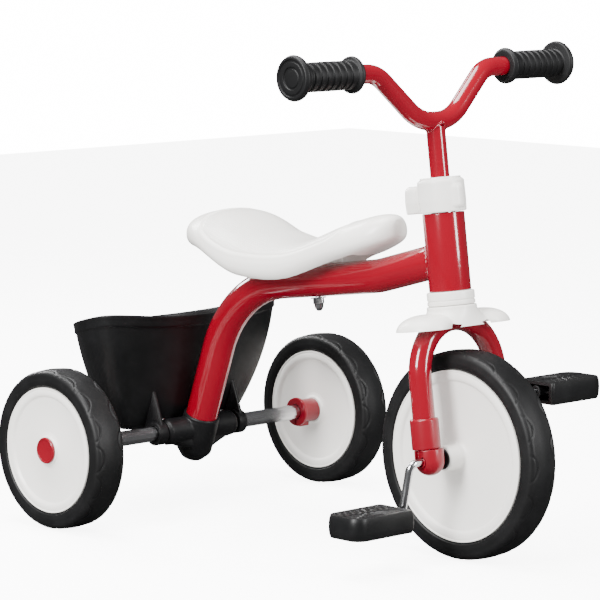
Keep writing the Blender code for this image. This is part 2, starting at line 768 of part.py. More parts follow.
def crown_cover(steering):
    """A skirt under the lower bearing ring that widens over both legs of the fork."""
    top = HEAD_TUBE_LOW - GAP - LOWER_BEARING_HEIGHT - RUNNING_GAP
    count = ROUND
    levels = (
        (top, 0.0, 0.0),
        (top - COVER_NECK_HEIGHT, 0.02, 0.0),
        (top - COVER_NECK_HEIGHT - COVER_SHOULDER_DROP, 0.30, 0.25),
        (COVER_RIM_HEIGHT + 0.004, 0.80, 0.85),
        (COVER_RIM_HEIGHT, 1.0, 1.0),
    )

    def loop(height, wide, deep, inset):
        points = []
        for step in range(count):
            angle = 2 * math.pi * (step + 0.5) / count
            across = COVER_NECK_RADIUS + wide * (COVER_HALF_WIDTH - COVER_NECK_RADIUS) - inset
            ahead = COVER_NECK_RADIUS + deep * (COVER_HALF_DEPTH - COVER_NECK_RADIUS) - inset
            points.append(on_steering(ahead * math.cos(angle), across * math.sin(angle), height))
        return points

    outer = [loop(height, wide, deep, 0) for height, wide, deep in levels]
    inner = [loop(height - COVER_WALL, wide, deep, COVER_WALL) for height, wide, deep in levels[:-1]]
    inner.append(loop(COVER_RIM_HEIGHT, 1.0, 1.0, COVER_WALL))
    made = solid("crown_cover", lofted(outer + inner[::-1]), "white_plastic", steering)
    bore = hole(STEERER_RADIUS + GAP, ROUND)
    drill = rod(on_steering(0, 0, COVER_RIM_HEIGHT - 0.02), on_steering(0, 0, top + 0.02), bore, ROUND)
    boolean(made, helper("cover_bore", drill, steering), "DIFFERENCE")
    clear = fork_envelope(2 * GAP)
    boolean(made, helper("cover_fork_clearance", clear, steering), "DIFFERENCE")


def fork_envelope(clearance):
    """The solid that the fork tube fills, with a clearance round it."""
    return tube(fork_route(), hole(FORK_RADIUS + clearance, ROUND_SMALL), 0, ROUND_SMALL, AHEAD)


def fork_ends(steering):
    """A moulded sleeve on each leg's foot, a round cap below it and the bush for the crank."""
    for name, side in SIDES.items():
        foot = on_steering(0, side * FORK_HALF_SPREAD, 0)
        bore = hole(FORK_RADIUS + GAP, ROUND_SMALL)
        floor = FORK_FOOT_DEPTH - GAP
        sleeve = [
            (0, FORK_END_LOW + GAP / 2),
            (FORK_END_RADIUS, FORK_END_LOW + GAP / 2),
            (FORK_END_RADIUS, FORK_END_HIGH - 0.0015),
            (FORK_END_RADIUS - 0.0015, FORK_END_HIGH),
            (bore, FORK_END_HIGH),
            (bore, floor),
            (0, floor),
        ]
        solid("fork_end_" + name, turned(sleeve, foot, UP, ROUND_SMALL), "red_plastic", steering)
        centre = FRONT_AXLE + side * FORK_HALF_SPREAD * ACROSS
        cap = solid("fork_cap_" + name, fork_cap_mesh(centre), "red_plastic", steering)
        reach = Vector((0, 0.03, 0))
        bush_seat = hole(BUSH_SLEEVE_RADIUS + GAP, ROUND_SMALL)
        drill = rod(centre - reach, centre + reach, bush_seat)
        boolean(cap, helper("fork_cap_drill_" + name, drill, steering), "DIFFERENCE")
        crank_bush(name, side, steering)


def fork_cap_mesh(centre):
    """Half a ball below the axle, carried straight up to the sleeve above it."""
    profile = [(0, -FORK_CAP_RADIUS)]
    steps = 5
    for step in range(1, steps + 1):
        angle = math.pi / 2 * (step / steps - 1)
        profile.append((FORK_CAP_RADIUS * math.cos(angle), FORK_CAP_RADIUS * math.sin(angle)))
    top = FORK_END_LOW - GAP / 2
    profile += [(FORK_CAP_RADIUS, top), (0, top)]
    return turned(profile, centre, UP, ROUND_SMALL)


def crank_bush(name, side, steering):
    """A top-hat bush in the fork cap, with its flange against the wheel's boss."""
    bore = hole(CRANK_RADIUS + GAP, ROUND_SMALL)
    inner_face = FORK_HALF_SPREAD - FORK_CAP_RADIUS
    start = FRONT_BOSS_REACH + RUNNING_GAP
    outer_end = FORK_HALF_SPREAD + FORK_CAP_RADIUS - 0.001
    profile = [
        (bore, start),
        (BUSH_FLANGE_RADIUS, start),
        (BUSH_FLANGE_RADIUS, inner_face - GAP),
        (BUSH_SLEEVE_RADIUS, inner_face - GAP),
        (BUSH_SLEEVE_RADIUS, outer_end),
        (bore, outer_end),
    ]
    mesh = turned(profile, FRONT_AXLE, side * ACROSS, ROUND_SMALL)
    solid("crank_bush_" + name, mesh, "black_plastic", steering)


def handlebar(steering):
    corners = [
        on_steering(0, -BAR_HALF_WIDTH, BAR_HIGH),
        on_steering(0, -BAR_SHOULDER, BAR_HIGH),
        on_steering(0, -BAR_VALLEY, BAR_LOW),
        on_steering(0, BAR_VALLEY, BAR_LOW),
        on_steering(0, BAR_SHOULDER, BAR_HIGH),
        on_steering(0, BAR_HALF_WIDTH, BAR_HIGH),
    ]
    radii = [BAR_SHOULDER_RADIUS, BAR_VALLEY_RADIUS, BAR_VALLEY_RADIUS, BAR_SHOULDER_RADIUS]
    route = rounded_route(corners, radii, math.radians(14))
    bar = tube(route, BAR_RADIUS, BAR_WALL, ROUND_SMALL, AHEAD)
    solid("handlebar_tube", bar, "red_paint", steering)
    inner = BAR_RADIUS - BAR_WALL
    profile = [(inner, STEM_LOW), (BAR_RADIUS, STEM_LOW), (BAR_RADIUS, BAR_LOW), (inner, BAR_LOW)]
    stem = solid("stem_tube", turned(profile, STEERING_FOOT, UP, ROUND), "red_paint", steering)
    saddle = tube(route, hole(BAR_RADIUS + GAP, ROUND_SMALL), 0, ROUND_SMALL, AHEAD)
    boolean(stem, helper("stem_cope", saddle, steering), "DIFFERENCE")


def grips(steering):
    for name, side in SIDES.items():
        start = on_steering(0, 0, BAR_HIGH)
        bore = hole(BAR_RADIUS + GAP, ROUND_SMALL)
        flange = hole(GRIP_OUTER_FLANGE_RADIUS, ROUND_SMALL)
        profile = [(bore, GRIP_INNER), (GRIP_INNER_FLANGE_RADIUS - 0.002, GRIP_INNER)]
        profile.append((GRIP_INNER_FLANGE_RADIUS, GRIP_INNER + GRIP_FLANGE / 2))
        profile.append((GRIP_RADIUS, GRIP_INNER + GRIP_FLANGE))
        ribbed_start = GRIP_INNER + GRIP_FLANGE
        ribbed_end = GRIP_OUTER - GRIP_FLANGE
        pitch = (ribbed_end - ribbed_start) / GRIP_RIBS
        for rib in range(1, GRIP_RIBS):
            place = ribbed_start + rib * pitch
            profile.append((GRIP_RADIUS - GRIP_RIB_DEPTH, place))
            profile.append((GRIP_RADIUS, place + pitch / 2))
        profile += [
            (GRIP_RADIUS, ribbed_end),
            (flange, ribbed_end + 0.001),
            (flange, GRIP_OUTER - 0.002),
            (flange - 0.002, GRIP_OUTER),
            (0, GRIP_OUTER),
            (0, GRIP_OUTER - GRIP_END_WALL),
            (bore, GRIP_OUTER - GRIP_END_WALL),
        ]
        mesh = turned(profile, start, side * ACROSS, ROUND_SMALL)
        solid("grip_" + name, mesh, "black_rubber", steering)


# ---- Front wheel, crank and pedals


def crank_arm(side):
    """The way from the front axle to the pedal's axis on one side."""
    down = Vector((math.sin(CRANK_ANGLE), 0, math.cos(CRANK_ANGLE)))
    return side * CRANK_THROW * down


def pedal_axis(side):
    return FRONT_AXLE + crank_arm(side)


def front_wheel(wheel):
    tyre("front_tyre", FRONT_AXLE, FRONT_TYRE_RADIUS, FRONT_DISC_RADIUS, wheel)
    for name, side in SIDES.items():
        shell = wheel_shell(
            "front_wheel_shell_" + name,
            FRONT_AXLE,
            side,
            FRONT_DISC_RADIUS,
            CRANK_RADIUS + GAP,
            FRONT_BOSS_RADIUS,
            FRONT_BOSS_REACH,
            wheel,
        )
        pocket = crank_ears_mesh(2 * GAP)
        boolean(shell, helper("ear_pocket_" + name, pocket, wheel), "DIFFERENCE")


def crank_ears_mesh(clearance):
    """Flats pressed out of the crank inside the hub, which turn the wheel with it."""
    reach = CRANK_EAR_REACH + clearance
    thick = CRANK_EAR_WIDTH / 2 + clearance
    half = CRANK_EAR_LENGTH / 2 + clearance
    low = Vector((-reach, -half, -thick))
    high = Vector((reach, half, thick))
    return block(FRONT_AXLE + low, FRONT_AXLE + high)


def crank(wheel):
    outer = PEDAL_INNER + PEDAL_LENGTH - CRANK_END_SHORT
    corners = [
        pedal_axis(-1) - outer * ACROSS,
        pedal_axis(-1) - CRANK_PLANE * ACROSS,
        FRONT_AXLE - CRANK_PLANE * ACROSS,
        FRONT_AXLE + CRANK_PLANE * ACROSS,
        pedal_axis(1) + CRANK_PLANE * ACROSS,
        pedal_axis(1) + outer * ACROSS,
    ]
    radii = [CRANK_END_BEND, CRANK_BEND_RADIUS, CRANK_BEND_RADIUS, CRANK_END_BEND]
    route = rounded_route(corners, radii, math.radians(22.5))
    plane = crank_arm(1).cross(ACROSS).normalized()
    made = solid("crank", tube(route, CRANK_RADIUS, 0, ROUND_SMALL, plane), "steel", wheel)
    boolean(made, helper("crank_ears", crank_ears_mesh(0), wheel), "UNION")


def pedals(wheel):
    for name, side in SIDES.items():
        axis = pedal_axis(side)
        carrier = pivot("pedal_spin_" + name, axis, wheel)
        pedal = solid("pedal_" + name, pedal_mesh(axis, side), "black_plastic", carrier)
        pocket = helper("pedal_pocket_" + name, pedal_pocket_mesh(axis, side), carrier)
        boolean(pedal, pocket, "DIFFERENCE")
        inner = axis + side * PEDAL_INNER * ACROSS
        end = side * (PEDAL_LENGTH - PEDAL_WALL) * ACROSS
        hub = helper("pedal_hub_" + name, rod(inner + 0.1 * end, inner + 1.01 * end, PEDAL_HUB_RADIUS), carrier)
        boolean(pedal, hub, "UNION")
        bore = hole(CRANK_RADIUS + RUNNING_GAP, ROUND_SMALL)
        drill = rod(inner - 0.2 * end, inner + end * 0.995, bore)
        boolean(pedal, helper("pedal_drill_" + name, drill, carrier), "DIFFERENCE")


def pedal_mesh(axis, side):
    """A block with a round outer end, narrowed a little towards its top and bottom."""
    half = PEDAL_DEPTH / 2
    outline = [(-half, 0), (half, 0)]
    corner = PEDAL_OUTER_ROUND
    for middle, start in ((half - corner, 0), (-half + corner, 90)):
        for step in range(5):
            angle = math.radians(start + 22.5 * step)
            place = (middle + corner * math.cos(angle), PEDAL_LENGTH - corner + corner * math.sin(angle))
            outline.append(place)
    loops = []
    for height, share in ((-1, 0.90), (-0.6, 1.0), (0.6, 1.0), (1, 0.90)):
        loop = []
        for ahead, out in outline:
            out_place = PEDAL_INNER + (out if out == 0 else PEDAL_LENGTH / 2 + share * (out - PEDAL_LENGTH / 2))
            spot = Vector((ahead * share, side * out_place, height * PEDAL_HEIGHT / 2))
            loop.append(axis + spot)
        loops.append(loop)
    return lofted(loops)


def pedal_pocket_mesh(axis, side):
    """The hollow that is open at the pedal's inner end."""
    near = side * (PEDAL_INNER - 0.002)
    far = side * (PEDAL_INNER + PEDAL_LENGTH - PEDAL_OUTER_ROUND)
    wide = PEDAL_DEPTH / 2 - 2 * PEDAL_WALL
    tall = PEDAL_HEIGHT / 2 - PEDAL_WALL
    low = Vector((-wide, min(near, far), -tall))
    high = Vector((wide, max(near, far), tall))
    return block(axis + low, axis + high)


# ---- Basket


def basket_loop(level, inset, height=None):
    """A loop round the basket at a share of its height, 0 at the floor and 1 at the rim."""
    count = 28
    bulge = 4 * level * (1 - level)

    def between(floor, top):
        return floor + level * (top - floor)

    half_width = between(BASKET_FLOOR_HALF_WIDTH, BASKET_TOP_HALF_WIDTH) + bulge * BASKET_SIDE_BELLY - inset
    front = between(BASKET_FLOOR_FRONT, BASKET_TOP_FRONT) + bulge * BASKET_FRONT_BELLY
    widest = front - between(BASKET_FLOOR_FRONT_DEPTH, BASKET_TOP_FRONT_DEPTH)
    back = between(BASKET_FLOOR_BACK, BASKET_TOP_BACK)
    loop = []
    for step in range(count):
        angle = 2 * math.pi * step / count
        cosine = math.cos(angle)
        sine = math.sin(angle)
        squareness = BASKET_FRONT_SQUARENESS if cosine > 0 else BASKET_BACK_SQUARENESS
        ahead = abs(cosine) ** (2 / squareness)
        across = half_width * math.copysign(abs(sine) ** (2 / squareness), sine)
        if cosine > 0:
            place = widest + (front - inset - widest) * ahead
        else:
            place = widest - (widest - back - inset) * ahead
        backward = (front - place) / (front - back)
        rise = BASKET_RIM_RISE * (across / half_width) ** 2 * (1 - backward)
        rim = BASKET_RIM_Z + rise - BASKET_RIM_DROP * backward
        up = between(BASKET_FLOOR_Z, rim) if height is None else height
        loop.append(from_axle(place, across, up))
    return loop


def basket(frame):
    band = 1 - BASKET_RIM_BAND / (BASKET_RIM_Z - BASKET_FLOOR_Z)
    low = BASKET_WALL / (BASKET_RIM_Z - BASKET_FLOOR_Z)
    outside = [basket_loop(level, inset) for level, inset in ((0, 0.006), (0.045, 0), (0.3, 0), (0.62, 0))]
    outside += [basket_loop(band, 0), basket_loop(band, -BASKET_RIM_STEP), basket_loop(1, -BASKET_RIM_STEP)]
    inside = [basket_loop(level, BASKET_WALL) for level in (1, 0.62, 0.3)]
    floor_height = BASKET_FLOOR_Z + BASKET_WALL
    inside.append(basket_loop(low, BASKET_WALL + 0.004, floor_height))
    made = solid("basket", lofted(outside + inside), "black_plastic", frame)
    for name, side in SIDES.items():
        ring_at = REAR_AXLE + side * BASKET_RING_Y * ACROSS
        half = BASKET_RING_WIDTH / 2 * ACROSS
        ring = rod(ring_at - half, ring_at + half, BASKET_RING_RADIUS, ROUND_SMALL)
        boolean(made, helper("basket_ring_" + name, ring, frame), "UNION")
        fin = helper("basket_fin_" + name, basket_fin_mesh(side), frame)
        boolean(made, fin, "UNION")
    boolean(made, axle_drill("basket_drill", AXLE_RADIUS + GAP, frame), "DIFFERENCE")
    along = down_tube_direction()
    top = down_tube_point(BRACKET_TOP_Z)
    cup_radius = hole(MAIN_TUBE_RADIUS + BRACKET_WALL + BASKET_CLEARANCE, ROUND)
    cup = rod(top - 0.06 * along, top + 0.01 * along, cup_radius, ROUND)
    boolean(made, helper("basket_cup_clearance", cup, frame), "DIFFERENCE")
    half = (BRACKET_HALF_WIDTH + BASKET_CLEARANCE) * ACROSS
    sleeve_radius = hole(BRACKET_SLEEVE_RADIUS + BASKET_CLEARANCE, ROUND)
    sleeve = rod(REAR_AXLE - half, REAR_AXLE + half, sleeve_radius, ROUND)
    boolean(made, helper("basket_sleeve_clearance", sleeve, frame), "DIFFERENCE")


def basket_fin_mesh(side):
    """An upright web from the axle ring up the front wall of the basket."""
    across = side * BASKET_RING_Y
    into_wall = -0.004
    outline = [
        from_axle(0.010, across, REAR_TYRE_RADIUS),
        from_axle(0.008, across, REAR_TYRE_RADIUS + 0.010),
        from_axle(BASKET_FLOOR_FRONT + 0.0115, across, BASKET_FIN_TOP_Z),
        from_axle(BASKET_FLOOR_FRONT + into_wall + 0.006, across, BASKET_FIN_TOP_Z - 0.004),
        from_axle(BASKET_FLOOR_FRONT + into_wall, across, BASKET_FLOOR_Z + 0.003),
        from_axle(-0.010, across, REAR_TYRE_RADIUS - 0.004),
    ]
    return plate(outline, BASKET_FIN_WIDTH * ACROSS)


def bracket_screws(frame):
    """A screw in each sleeve of the bracket, which locks the axle from above."""
    for name, side in SIDES.items():
        seat = REAR_AXLE + side * (BRACKET_HALF_WIDTH - 2 * SCREW_HEAD_RADIUS) * ACROSS
        slant = Vector((-math.sin(SCREW_SLANT), 0, math.cos(SCREW_SLANT)))
        start = seat + (BRACKET_SLEEVE_RADIUS + GAP) * slant
        head = [
            (0, 0),
            (SCREW_HEAD_RADIUS, 0),
            (SCREW_HEAD_RADIUS, 0.4 * SCREW_HEAD_HEIGHT),
            (0.6 * SCREW_HEAD_RADIUS, SCREW_HEAD_HEIGHT),
            (0, SCREW_HEAD_HEIGHT),
        ]
        solid("bracket_screw_" + name, turned(head, start, slant, ROUND_SMALL), "steel", frame)


# ---- Seat


def seat_up():
    return Vector((-math.sin(SEAT_RUN_SLOPE), 0, math.cos(SEAT_RUN_SLOPE)))


def seat_bolt_place():
    """The point of the main tube's centre line that the seat bolt crosses."""
    foot, corner, kink, meet = main_tube_corners()
    x = from_axle(SEAT_BOLT_X, 0, 0).x
    return Vector((x, 0, corner.z + (x - corner.x) * math.tan(SEAT_RUN_SLOPE)))


def along_list(values, share):
    """A smooth value through evenly spaced ones, at a share of the way."""
    last = len(values) - 1
    place = min(max(share, 0.0), 1.0) * last
    index = min(int(place), last - 1)
    rest = place - index
    here = values[index]
    after = values[index + 1]
    leave = (after - values[max(index - 1, 0)]) / 2
    arrive = (values[min(index + 2, last)] - here) / 2
    square = rest * rest
    cube = square * rest
    start = (2 * cube - 3 * square + 1) * here + (cube - 2 * square + rest) * leave
    return start + (3 * square - 2 * cube) * after + (cube - square) * arrive


def seat_sizes(share):
    """The place, half width, middle height, half height and crown of the seat at a share of its length."""
    end = (1 - abs(2 * share - 1) ** SEAT_END_SQUARENESS) ** (1 / SEAT_END_SQUARENESS)
    x = SEAT_REAR_X + share * (SEAT_FRONT_X - SEAT_REAR_X)
    half = along_list(SEAT_THICKNESSES, share) / 2
    middle = seat_bolt_place().z + along_list(SEAT_TOPS, share) - half
    crown = along_list(SEAT_CROWNS, share) * end
    return x, along_list(SEAT_HALF_WIDTHS, share) * end, middle, half * math.sqrt(end), crown


def seat_section(share, count=20):
    """The outline of the seat's cross-section: rounder than a box and fuller than an ellipse."""
    x, half_width, middle, half_height, crown = seat_sizes(share)
    points = []
    for step in range(count):
        angle = 2 * math.pi * (step + 0.5) / count
        across = math.copysign(abs(math.cos(angle)) ** SEAT_SIDE_POWER, math.cos(angle))
        rise = math.copysign(abs(math.sin(angle)) ** SEAT_TOP_POWER, math.sin(angle))
        points.append(from_axle(x, half_width * across, middle + half_height * rise - crown * across ** 2))
    return points


def seat_hollow_section(share, count=8):
    """The hollow under the seat, open downwards: it leaves a wall above and a lip all round."""
    x, half_width, middle, half_height, crown = seat_sizes(share)
    reach = 1 - SEAT_LIP / half_width
    points = []
    for step in range(count + 1):
        across = reach * (1 - 2 * step / count)
        rise = (1 - abs(across) ** (2 / SEAT_SIDE_POWER)) ** (SEAT_TOP_POWER / 2)
        height = middle + half_height * rise - crown * across ** 2 - SEAT_WALL
        points.append(from_axle(x, half_width * across, height))
    low = seat_bolt_place().z - 2 * max(SEAT_THICKNESSES)
    points.append(from_axle(x, -half_width * reach, low))
    points.append(from_axle(x, half_width * reach, low))
    return points


def seat(frame):
    """A moulded shell that is open underneath and stands on the main tube by a boss in its middle."""
    shares = [(1 - math.cos(math.pi * step / 17)) / 2 for step in range(1, 17)]
    made = solid("seat", lofted([seat_section(share) for share in shares]), "white_plastic", frame)
    inner = [SEAT_HOLLOW_START + (1 - 2 * SEAT_HOLLOW_START) * step / 9 for step in range(10)]
    hollow = helper("seat_hollow", lofted([seat_hollow_section(share) for share in inner]), frame)
    boolean(made, hollow, "DIFFERENCE")
    place = seat_bolt_place()
    share = (SEAT_BOLT_X - SEAT_REAR_X) / (SEAT_FRONT_X - SEAT_REAR_X)
    reach = (along_list(SEAT_TOPS, share) - SEAT_WALL / 2) / math.cos(SEAT_RUN_SLOPE)
    boss = rod(place, place + reach * seat_up(), SEAT_BOSS_RADIUS, ROUND)
    boolean(made, helper("seat_boss", boss, frame), "UNION")
    route = rounded_route(list(main_tube_corners()), [REAR_BEND_RADIUS, KINK_RADIUS], math.radians(9))
    groove = tube(route, hole(MAIN_TUBE_RADIUS + GAP, ROUND_TUBE), 0, ROUND_TUBE, ACROSS)
    boolean(made, helper("seat_groove", groove, frame), "DIFFERENCE")
    drill = rod(place, place + bolt_head_height() * seat_up(), SEAT_BOLT_RADIUS + 2 * GAP)
    boolean(made, helper("seat_drill", drill, frame), "DIFFERENCE")
    low = place + (bolt_head_height() - GAP) * seat_up()
    high = low + (SEAT_BOLT_HEAD_HEIGHT + 2 * GAP) * seat_up()
    pocket = rod(low, high, SEAT_BOLT_HEAD_RADIUS + GAP)
    boolean(made, helper("seat_bolt_pocket", pocket, frame), "DIFFERENCE")


def bolt_head_height():
    return MAIN_TUBE_RADIUS + SEAT_BOLT_GRIP


def seat_fasteners(frame):
    """The bolt held in the seat's boss, and the domed nut under the main tube."""
    place = seat_bolt_place()
    head = bolt_head_height()
    nut_top = -MAIN_TUBE_RADIUS - 2 * GAP
    nut_low = nut_top - SEAT_NUT_HEIGHT
    end = nut_low + 0.3 * SEAT_NUT_HEIGHT
    bolt = [
        (0, end),
        (SEAT_BOLT_RADIUS, end),
        (SEAT_BOLT_RADIUS, head),
        (SEAT_BOLT_HEAD_RADIUS, head),
        (SEAT_BOLT_HEAD_RADIUS, head + SEAT_BOLT_HEAD_HEIGHT),
        (0, head + SEAT_BOLT_HEAD_HEIGHT),
    ]
    solid("seat_bolt", turned(bolt, place, seat_up(), ROUND_SMALL), "steel", frame)
    bore = hole(SEAT_BOLT_RADIUS + GAP, ROUND_SMALL)
    nut = [
        (0, nut_low),
        (0.55 * SEAT_NUT_RADIUS, nut_low + 0.10 * SEAT_NUT_HEIGHT),
        (0.85 * SEAT_NUT_RADIUS, nut_low + 0.40 * SEAT_NUT_HEIGHT),
        (SEAT_NUT_RADIUS, nut_low + 0.45 * SEAT_NUT_HEIGHT),
        (SEAT_NUT_RADIUS, nut_top),
        (bore, nut_top),
        (bore, end - GAP),
        (0, end - GAP),
    ]
    solid("seat_nut", turned(nut, place, seat_up(), ROUND_SMALL), "steel", frame)


def build():
    clear_scene()
    frame = pivot("frame", Vector((0, 0, 0)))
    steering = pivot("steering", on_steering(0, 0, HEAD_TUBE_LOW), frame)
    wheel = pivot("front_wheel", FRONT_AXLE, steering)
    rear_axle(frame)
    rear_wheels(frame)
    rear_bracket(frame)
    main_tube(frame)
    head_tube(frame)
    headset(frame)
    collar(steering)
    collar_bolt(steering)
    fork(steering)
    crown_cover(steering)
    fork_ends(steering)
    handlebar(steering)
    grips(steering)
    front_wheel(wheel)
    crank(wheel)
    pedals(wheel)
    basket(frame)
    bracket_screws(frame)
    seat(frame)
    seat_fasteners(frame)


build()
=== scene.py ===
"""The looks of the children's tricycle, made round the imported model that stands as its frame.

+X is the way it travels, +Y the rider's left, +Z up, in metres, with z = 0 on the ground.
Places along X are first given from the rear axle, as in the model's own source. The fork, handlebar
and front wheel are laid out ahead of, across and up the steering axis.
"""

import math

import bmesh
import bpy
from bpy.props import FloatProperty, FloatVectorProperty, IntProperty, PointerProperty
from mathutils import Matrix, Vector, noise


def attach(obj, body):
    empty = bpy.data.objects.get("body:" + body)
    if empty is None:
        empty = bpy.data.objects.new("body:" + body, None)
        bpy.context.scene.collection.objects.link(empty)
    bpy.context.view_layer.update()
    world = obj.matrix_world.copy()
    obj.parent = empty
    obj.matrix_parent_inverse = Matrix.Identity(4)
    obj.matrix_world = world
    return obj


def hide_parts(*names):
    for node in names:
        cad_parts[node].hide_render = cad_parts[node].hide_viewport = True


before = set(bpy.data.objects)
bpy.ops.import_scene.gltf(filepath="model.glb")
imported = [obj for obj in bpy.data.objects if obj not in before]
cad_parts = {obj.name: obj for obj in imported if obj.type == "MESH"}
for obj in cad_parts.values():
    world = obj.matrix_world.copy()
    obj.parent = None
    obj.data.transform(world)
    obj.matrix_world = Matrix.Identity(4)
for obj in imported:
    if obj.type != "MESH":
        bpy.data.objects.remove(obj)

bl_info = {
    "name": "Children's Tricycle",
    "version": (1, 0, 0),
    "blender": (4, 5, 0),
    "location": "View3D > Sidebar > Tricycle",
    "description": "Makes the visible pieces, finishes and studio of a children's tricycle",
    "category": "Object",
}

bpy.context.view_layer.update()

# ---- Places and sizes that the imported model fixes
WHEELBASE = 0.419
ORIGIN_X = 0.2048
REAR_HALF_TRACK = 0.20065
FRONT_TYRE_RADIUS = 0.110
REAR_TYRE_RADIUS = 0.0877
FRONT_DISC_RADIUS = 0.0901
REAR_DISC_RADIUS = 0.0686
TYRE_HALF_WIDTH = 0.020
WHEEL_FACE = 0.0192
TILT = math.radians(7.6)
CRANK_ANGLE = math.radians(12.0)
CRANK_THROW = 0.058
CRANK_RADIUS = 0.004
CRANK_PLANE = 0.0850
PEDAL_INNER = 0.0905
PEDAL_LENGTH = 0.0830
MAIN_TUBE_RADIUS = 0.018
DOWN_TUBE_LEAN = math.radians(19.7)
HEAD_TUBE_RADIUS = 0.022
HEAD_TUBE_LOW = 0.1712
HEAD_TUBE_HIGH = 0.2526
FORK_RADIUS = 0.01175
FORK_HALF_SPREAD = 0.056
FORK_TOP = 0.1413
FORK_FOOT = 0.026
BAR_RADIUS = 0.010
BAR_LOW = 0.3480
BAR_HIGH = 0.4007
SLEEVE_RADIUS = 0.0145
SLEEVE_HALF = 0.052

SIDES = {"right": -1, "left": 1}
ACROSS = Vector((0, 1, 0))
AHEAD = Vector((math.cos(TILT), 0, math.sin(TILT)))
UP = Vector((-math.sin(TILT), 0, math.cos(TILT)))
FRONT_AXLE = Vector((WHEELBASE - ORIGIN_X, 0, FRONT_TYRE_RADIUS))
REAR_AXLE = Vector((-ORIGIN_X, 0, REAR_TYRE_RADIUS))
STEERING_FOOT = FRONT_AXLE - 0.003 * AHEAD


def from_axle(x, y, z):
    return Vector((x - ORIGIN_X, y, z))


def on_steering(ahead, across, up):
    return STEERING_FOOT + ahead * AHEAD + across * ACROSS + up * UP


def down_tube_point(height):
    """The middle of the down tube at a height above the ground."""
    return from_axle(0.0025 + (height - REAR_TYRE_RADIUS) * math.tan(DOWN_TUBE_LEAN), 0, height)


DOWN_TUBE_WAY = Vector((math.sin(DOWN_TUBE_LEAN), 0, math.cos(DOWN_TUBE_LEAN)))


def pedal_axis(side):
    return FRONT_AXLE + side * CRANK_THROW * Vector((math.sin(CRANK_ANGLE), 0, math.cos(CRANK_ANGLE)))


# ---- Small sums


def smooth_step(value, low, high):
    share = min(max((value - low) / (high - low), 0.0), 1.0)
    return share * share * (3 - 2 * share)


def bump(value, width):
    """1 at 0, falling away smoothly over a width to either side."""
    return math.exp(-((value / width) ** 2))


def power(value, exponent):
    return math.copysign(abs(value) ** exponent, value)


def along_list(values, share):
    """A smooth value through evenly spaced ones, at a share of the way."""
    last = len(values) - 1
    place = min(max(share, 0.0), 1.0) * last
    index = min(int(place), last - 1)
    rest = place - index
    here = values[index]
    after = values[index + 1]
    leave = (after - values[max(index - 1, 0)]) / 2
    arrive = (values[min(index + 2, last)] - here) / 2
    square = rest * rest
    cube = square * rest
    start = (2 * cube - 3 * square + 1) * here + (cube - 2 * square + rest) * leave
    return start + (3 * square - 2 * cube) * after + (cube - square) * arrive


# ---- Shapes

NEARLY_STRAIGHT = math.radians(88)
POINTS_APART = 2e-4


def arc(start, end, centre, steps):
    first = start - centre
    last = end - centre
    total = first.angle(last)
    points = []
    for step in range(steps + 1):
        share = step / steps
        blend = math.sin((1 - share) * total) * first + math.sin(share * total) * last
        points.append(centre + blend / math.sin(total))
    return points


def rounded(corners, steps=5):
    """A closed outline of (radius, distance, rounding) corners with an arc at each rounded one."""
    outline = []
    for index, corner in enumerate(corners):
        here = Vector(corner[:2])
        before = Vector(corners[index - 1][:2]) - here
        after = Vector(corners[(index + 1) % len(corners)][:2]) - here
        size = corner[2] if len(corner) > 2 else 0
        if not size or before.length < 1e-7 or after.length < 1e-7:
            outline.append(here)
            continue
        half = before.angle(after) / 2
        if half > NEARLY_STRAIGHT:
            outline.append(here)
            continue
        cut = min(size / math.tan(half), 0.48 * before.length, 0.48 * after.length)
        size = cut * math.tan(half)
        inward = (before.normalized() + after.normalized()).normalized()
        centre = here + inward * (size / math.sin(half))
        outline += arc(here + before.normalized() * cut, here + after.normalized() * cut, centre, steps)
    return [tuple(point) for point in outline]


def bent_route(corners, radii, step=math.radians(4)):
    """A way through corners with a bend of the given radius at each inner one."""
    route = [corners[0]]
    for index, radius in enumerate(radii):
        before, corner, after = corners[index : index + 3]
        back = (before - corner).normalized()
        on = (after - corner).normalized()
        half = back.angle(on) / 2
        cut = radius / math.tan(half)
        centre = corner + (back + on).normalized() * (radius / math.sin(half))
        count = max(4, math.ceil((math.pi - 2 * half) / step))
        route += arc(corner + back * cut, corner + on * cut, centre, count)
    route.append(corners[-1])
    kept = [route[0]]
    for point in route[1:]:
        if (point - kept[-1]).length > POINTS_APART:
            kept.append(point)
    return kept


def bridge(mesh, one, two):
    """Faces between two rings, either of which may be a single point."""
    count = max(len(one), len(two))
    if count == 1:
        return
    for step in range(count):
        after = (step + 1) % count
        corners = [one[step % len(one)], one[after % len(one)], two[after % len(two)], two[step % len(two)]]
        mesh.faces.new(list(dict.fromkeys(corners)))


def basis(axis):
    axis = axis.normalized()
    side = ACROSS.cross(axis)
    if side.length < 0.1:
        side = Vector((1, 0, 0))
    side.normalize()
    return axis, side, axis.cross(side).normalized()


def turned(profile, start, axis, count=96, shape=None):
    """A closed outline turned about an axis. shape may move a point by its radius, distance and turn."""
    mesh = bmesh.new()
    axis, side, other = basis(axis)
    rings = []
    for radius, distance in profile:
        if radius < 1e-6:
            rings.append([mesh.verts.new(start + distance * axis)])
            continue
        ring = []
        for step in range(count):
            turn = 2 * math.pi * step / count
            reach, away = shape(radius, distance, turn) if shape else (radius, distance)
            outward = math.cos(turn) * side + math.sin(turn) * other
            ring.append(mesh.verts.new(start + away * axis + reach * outward))
        rings.append(ring)
    for one, two in zip(rings, rings[1:] + rings[:1]):
        bridge(mesh, one, two)
    return mesh


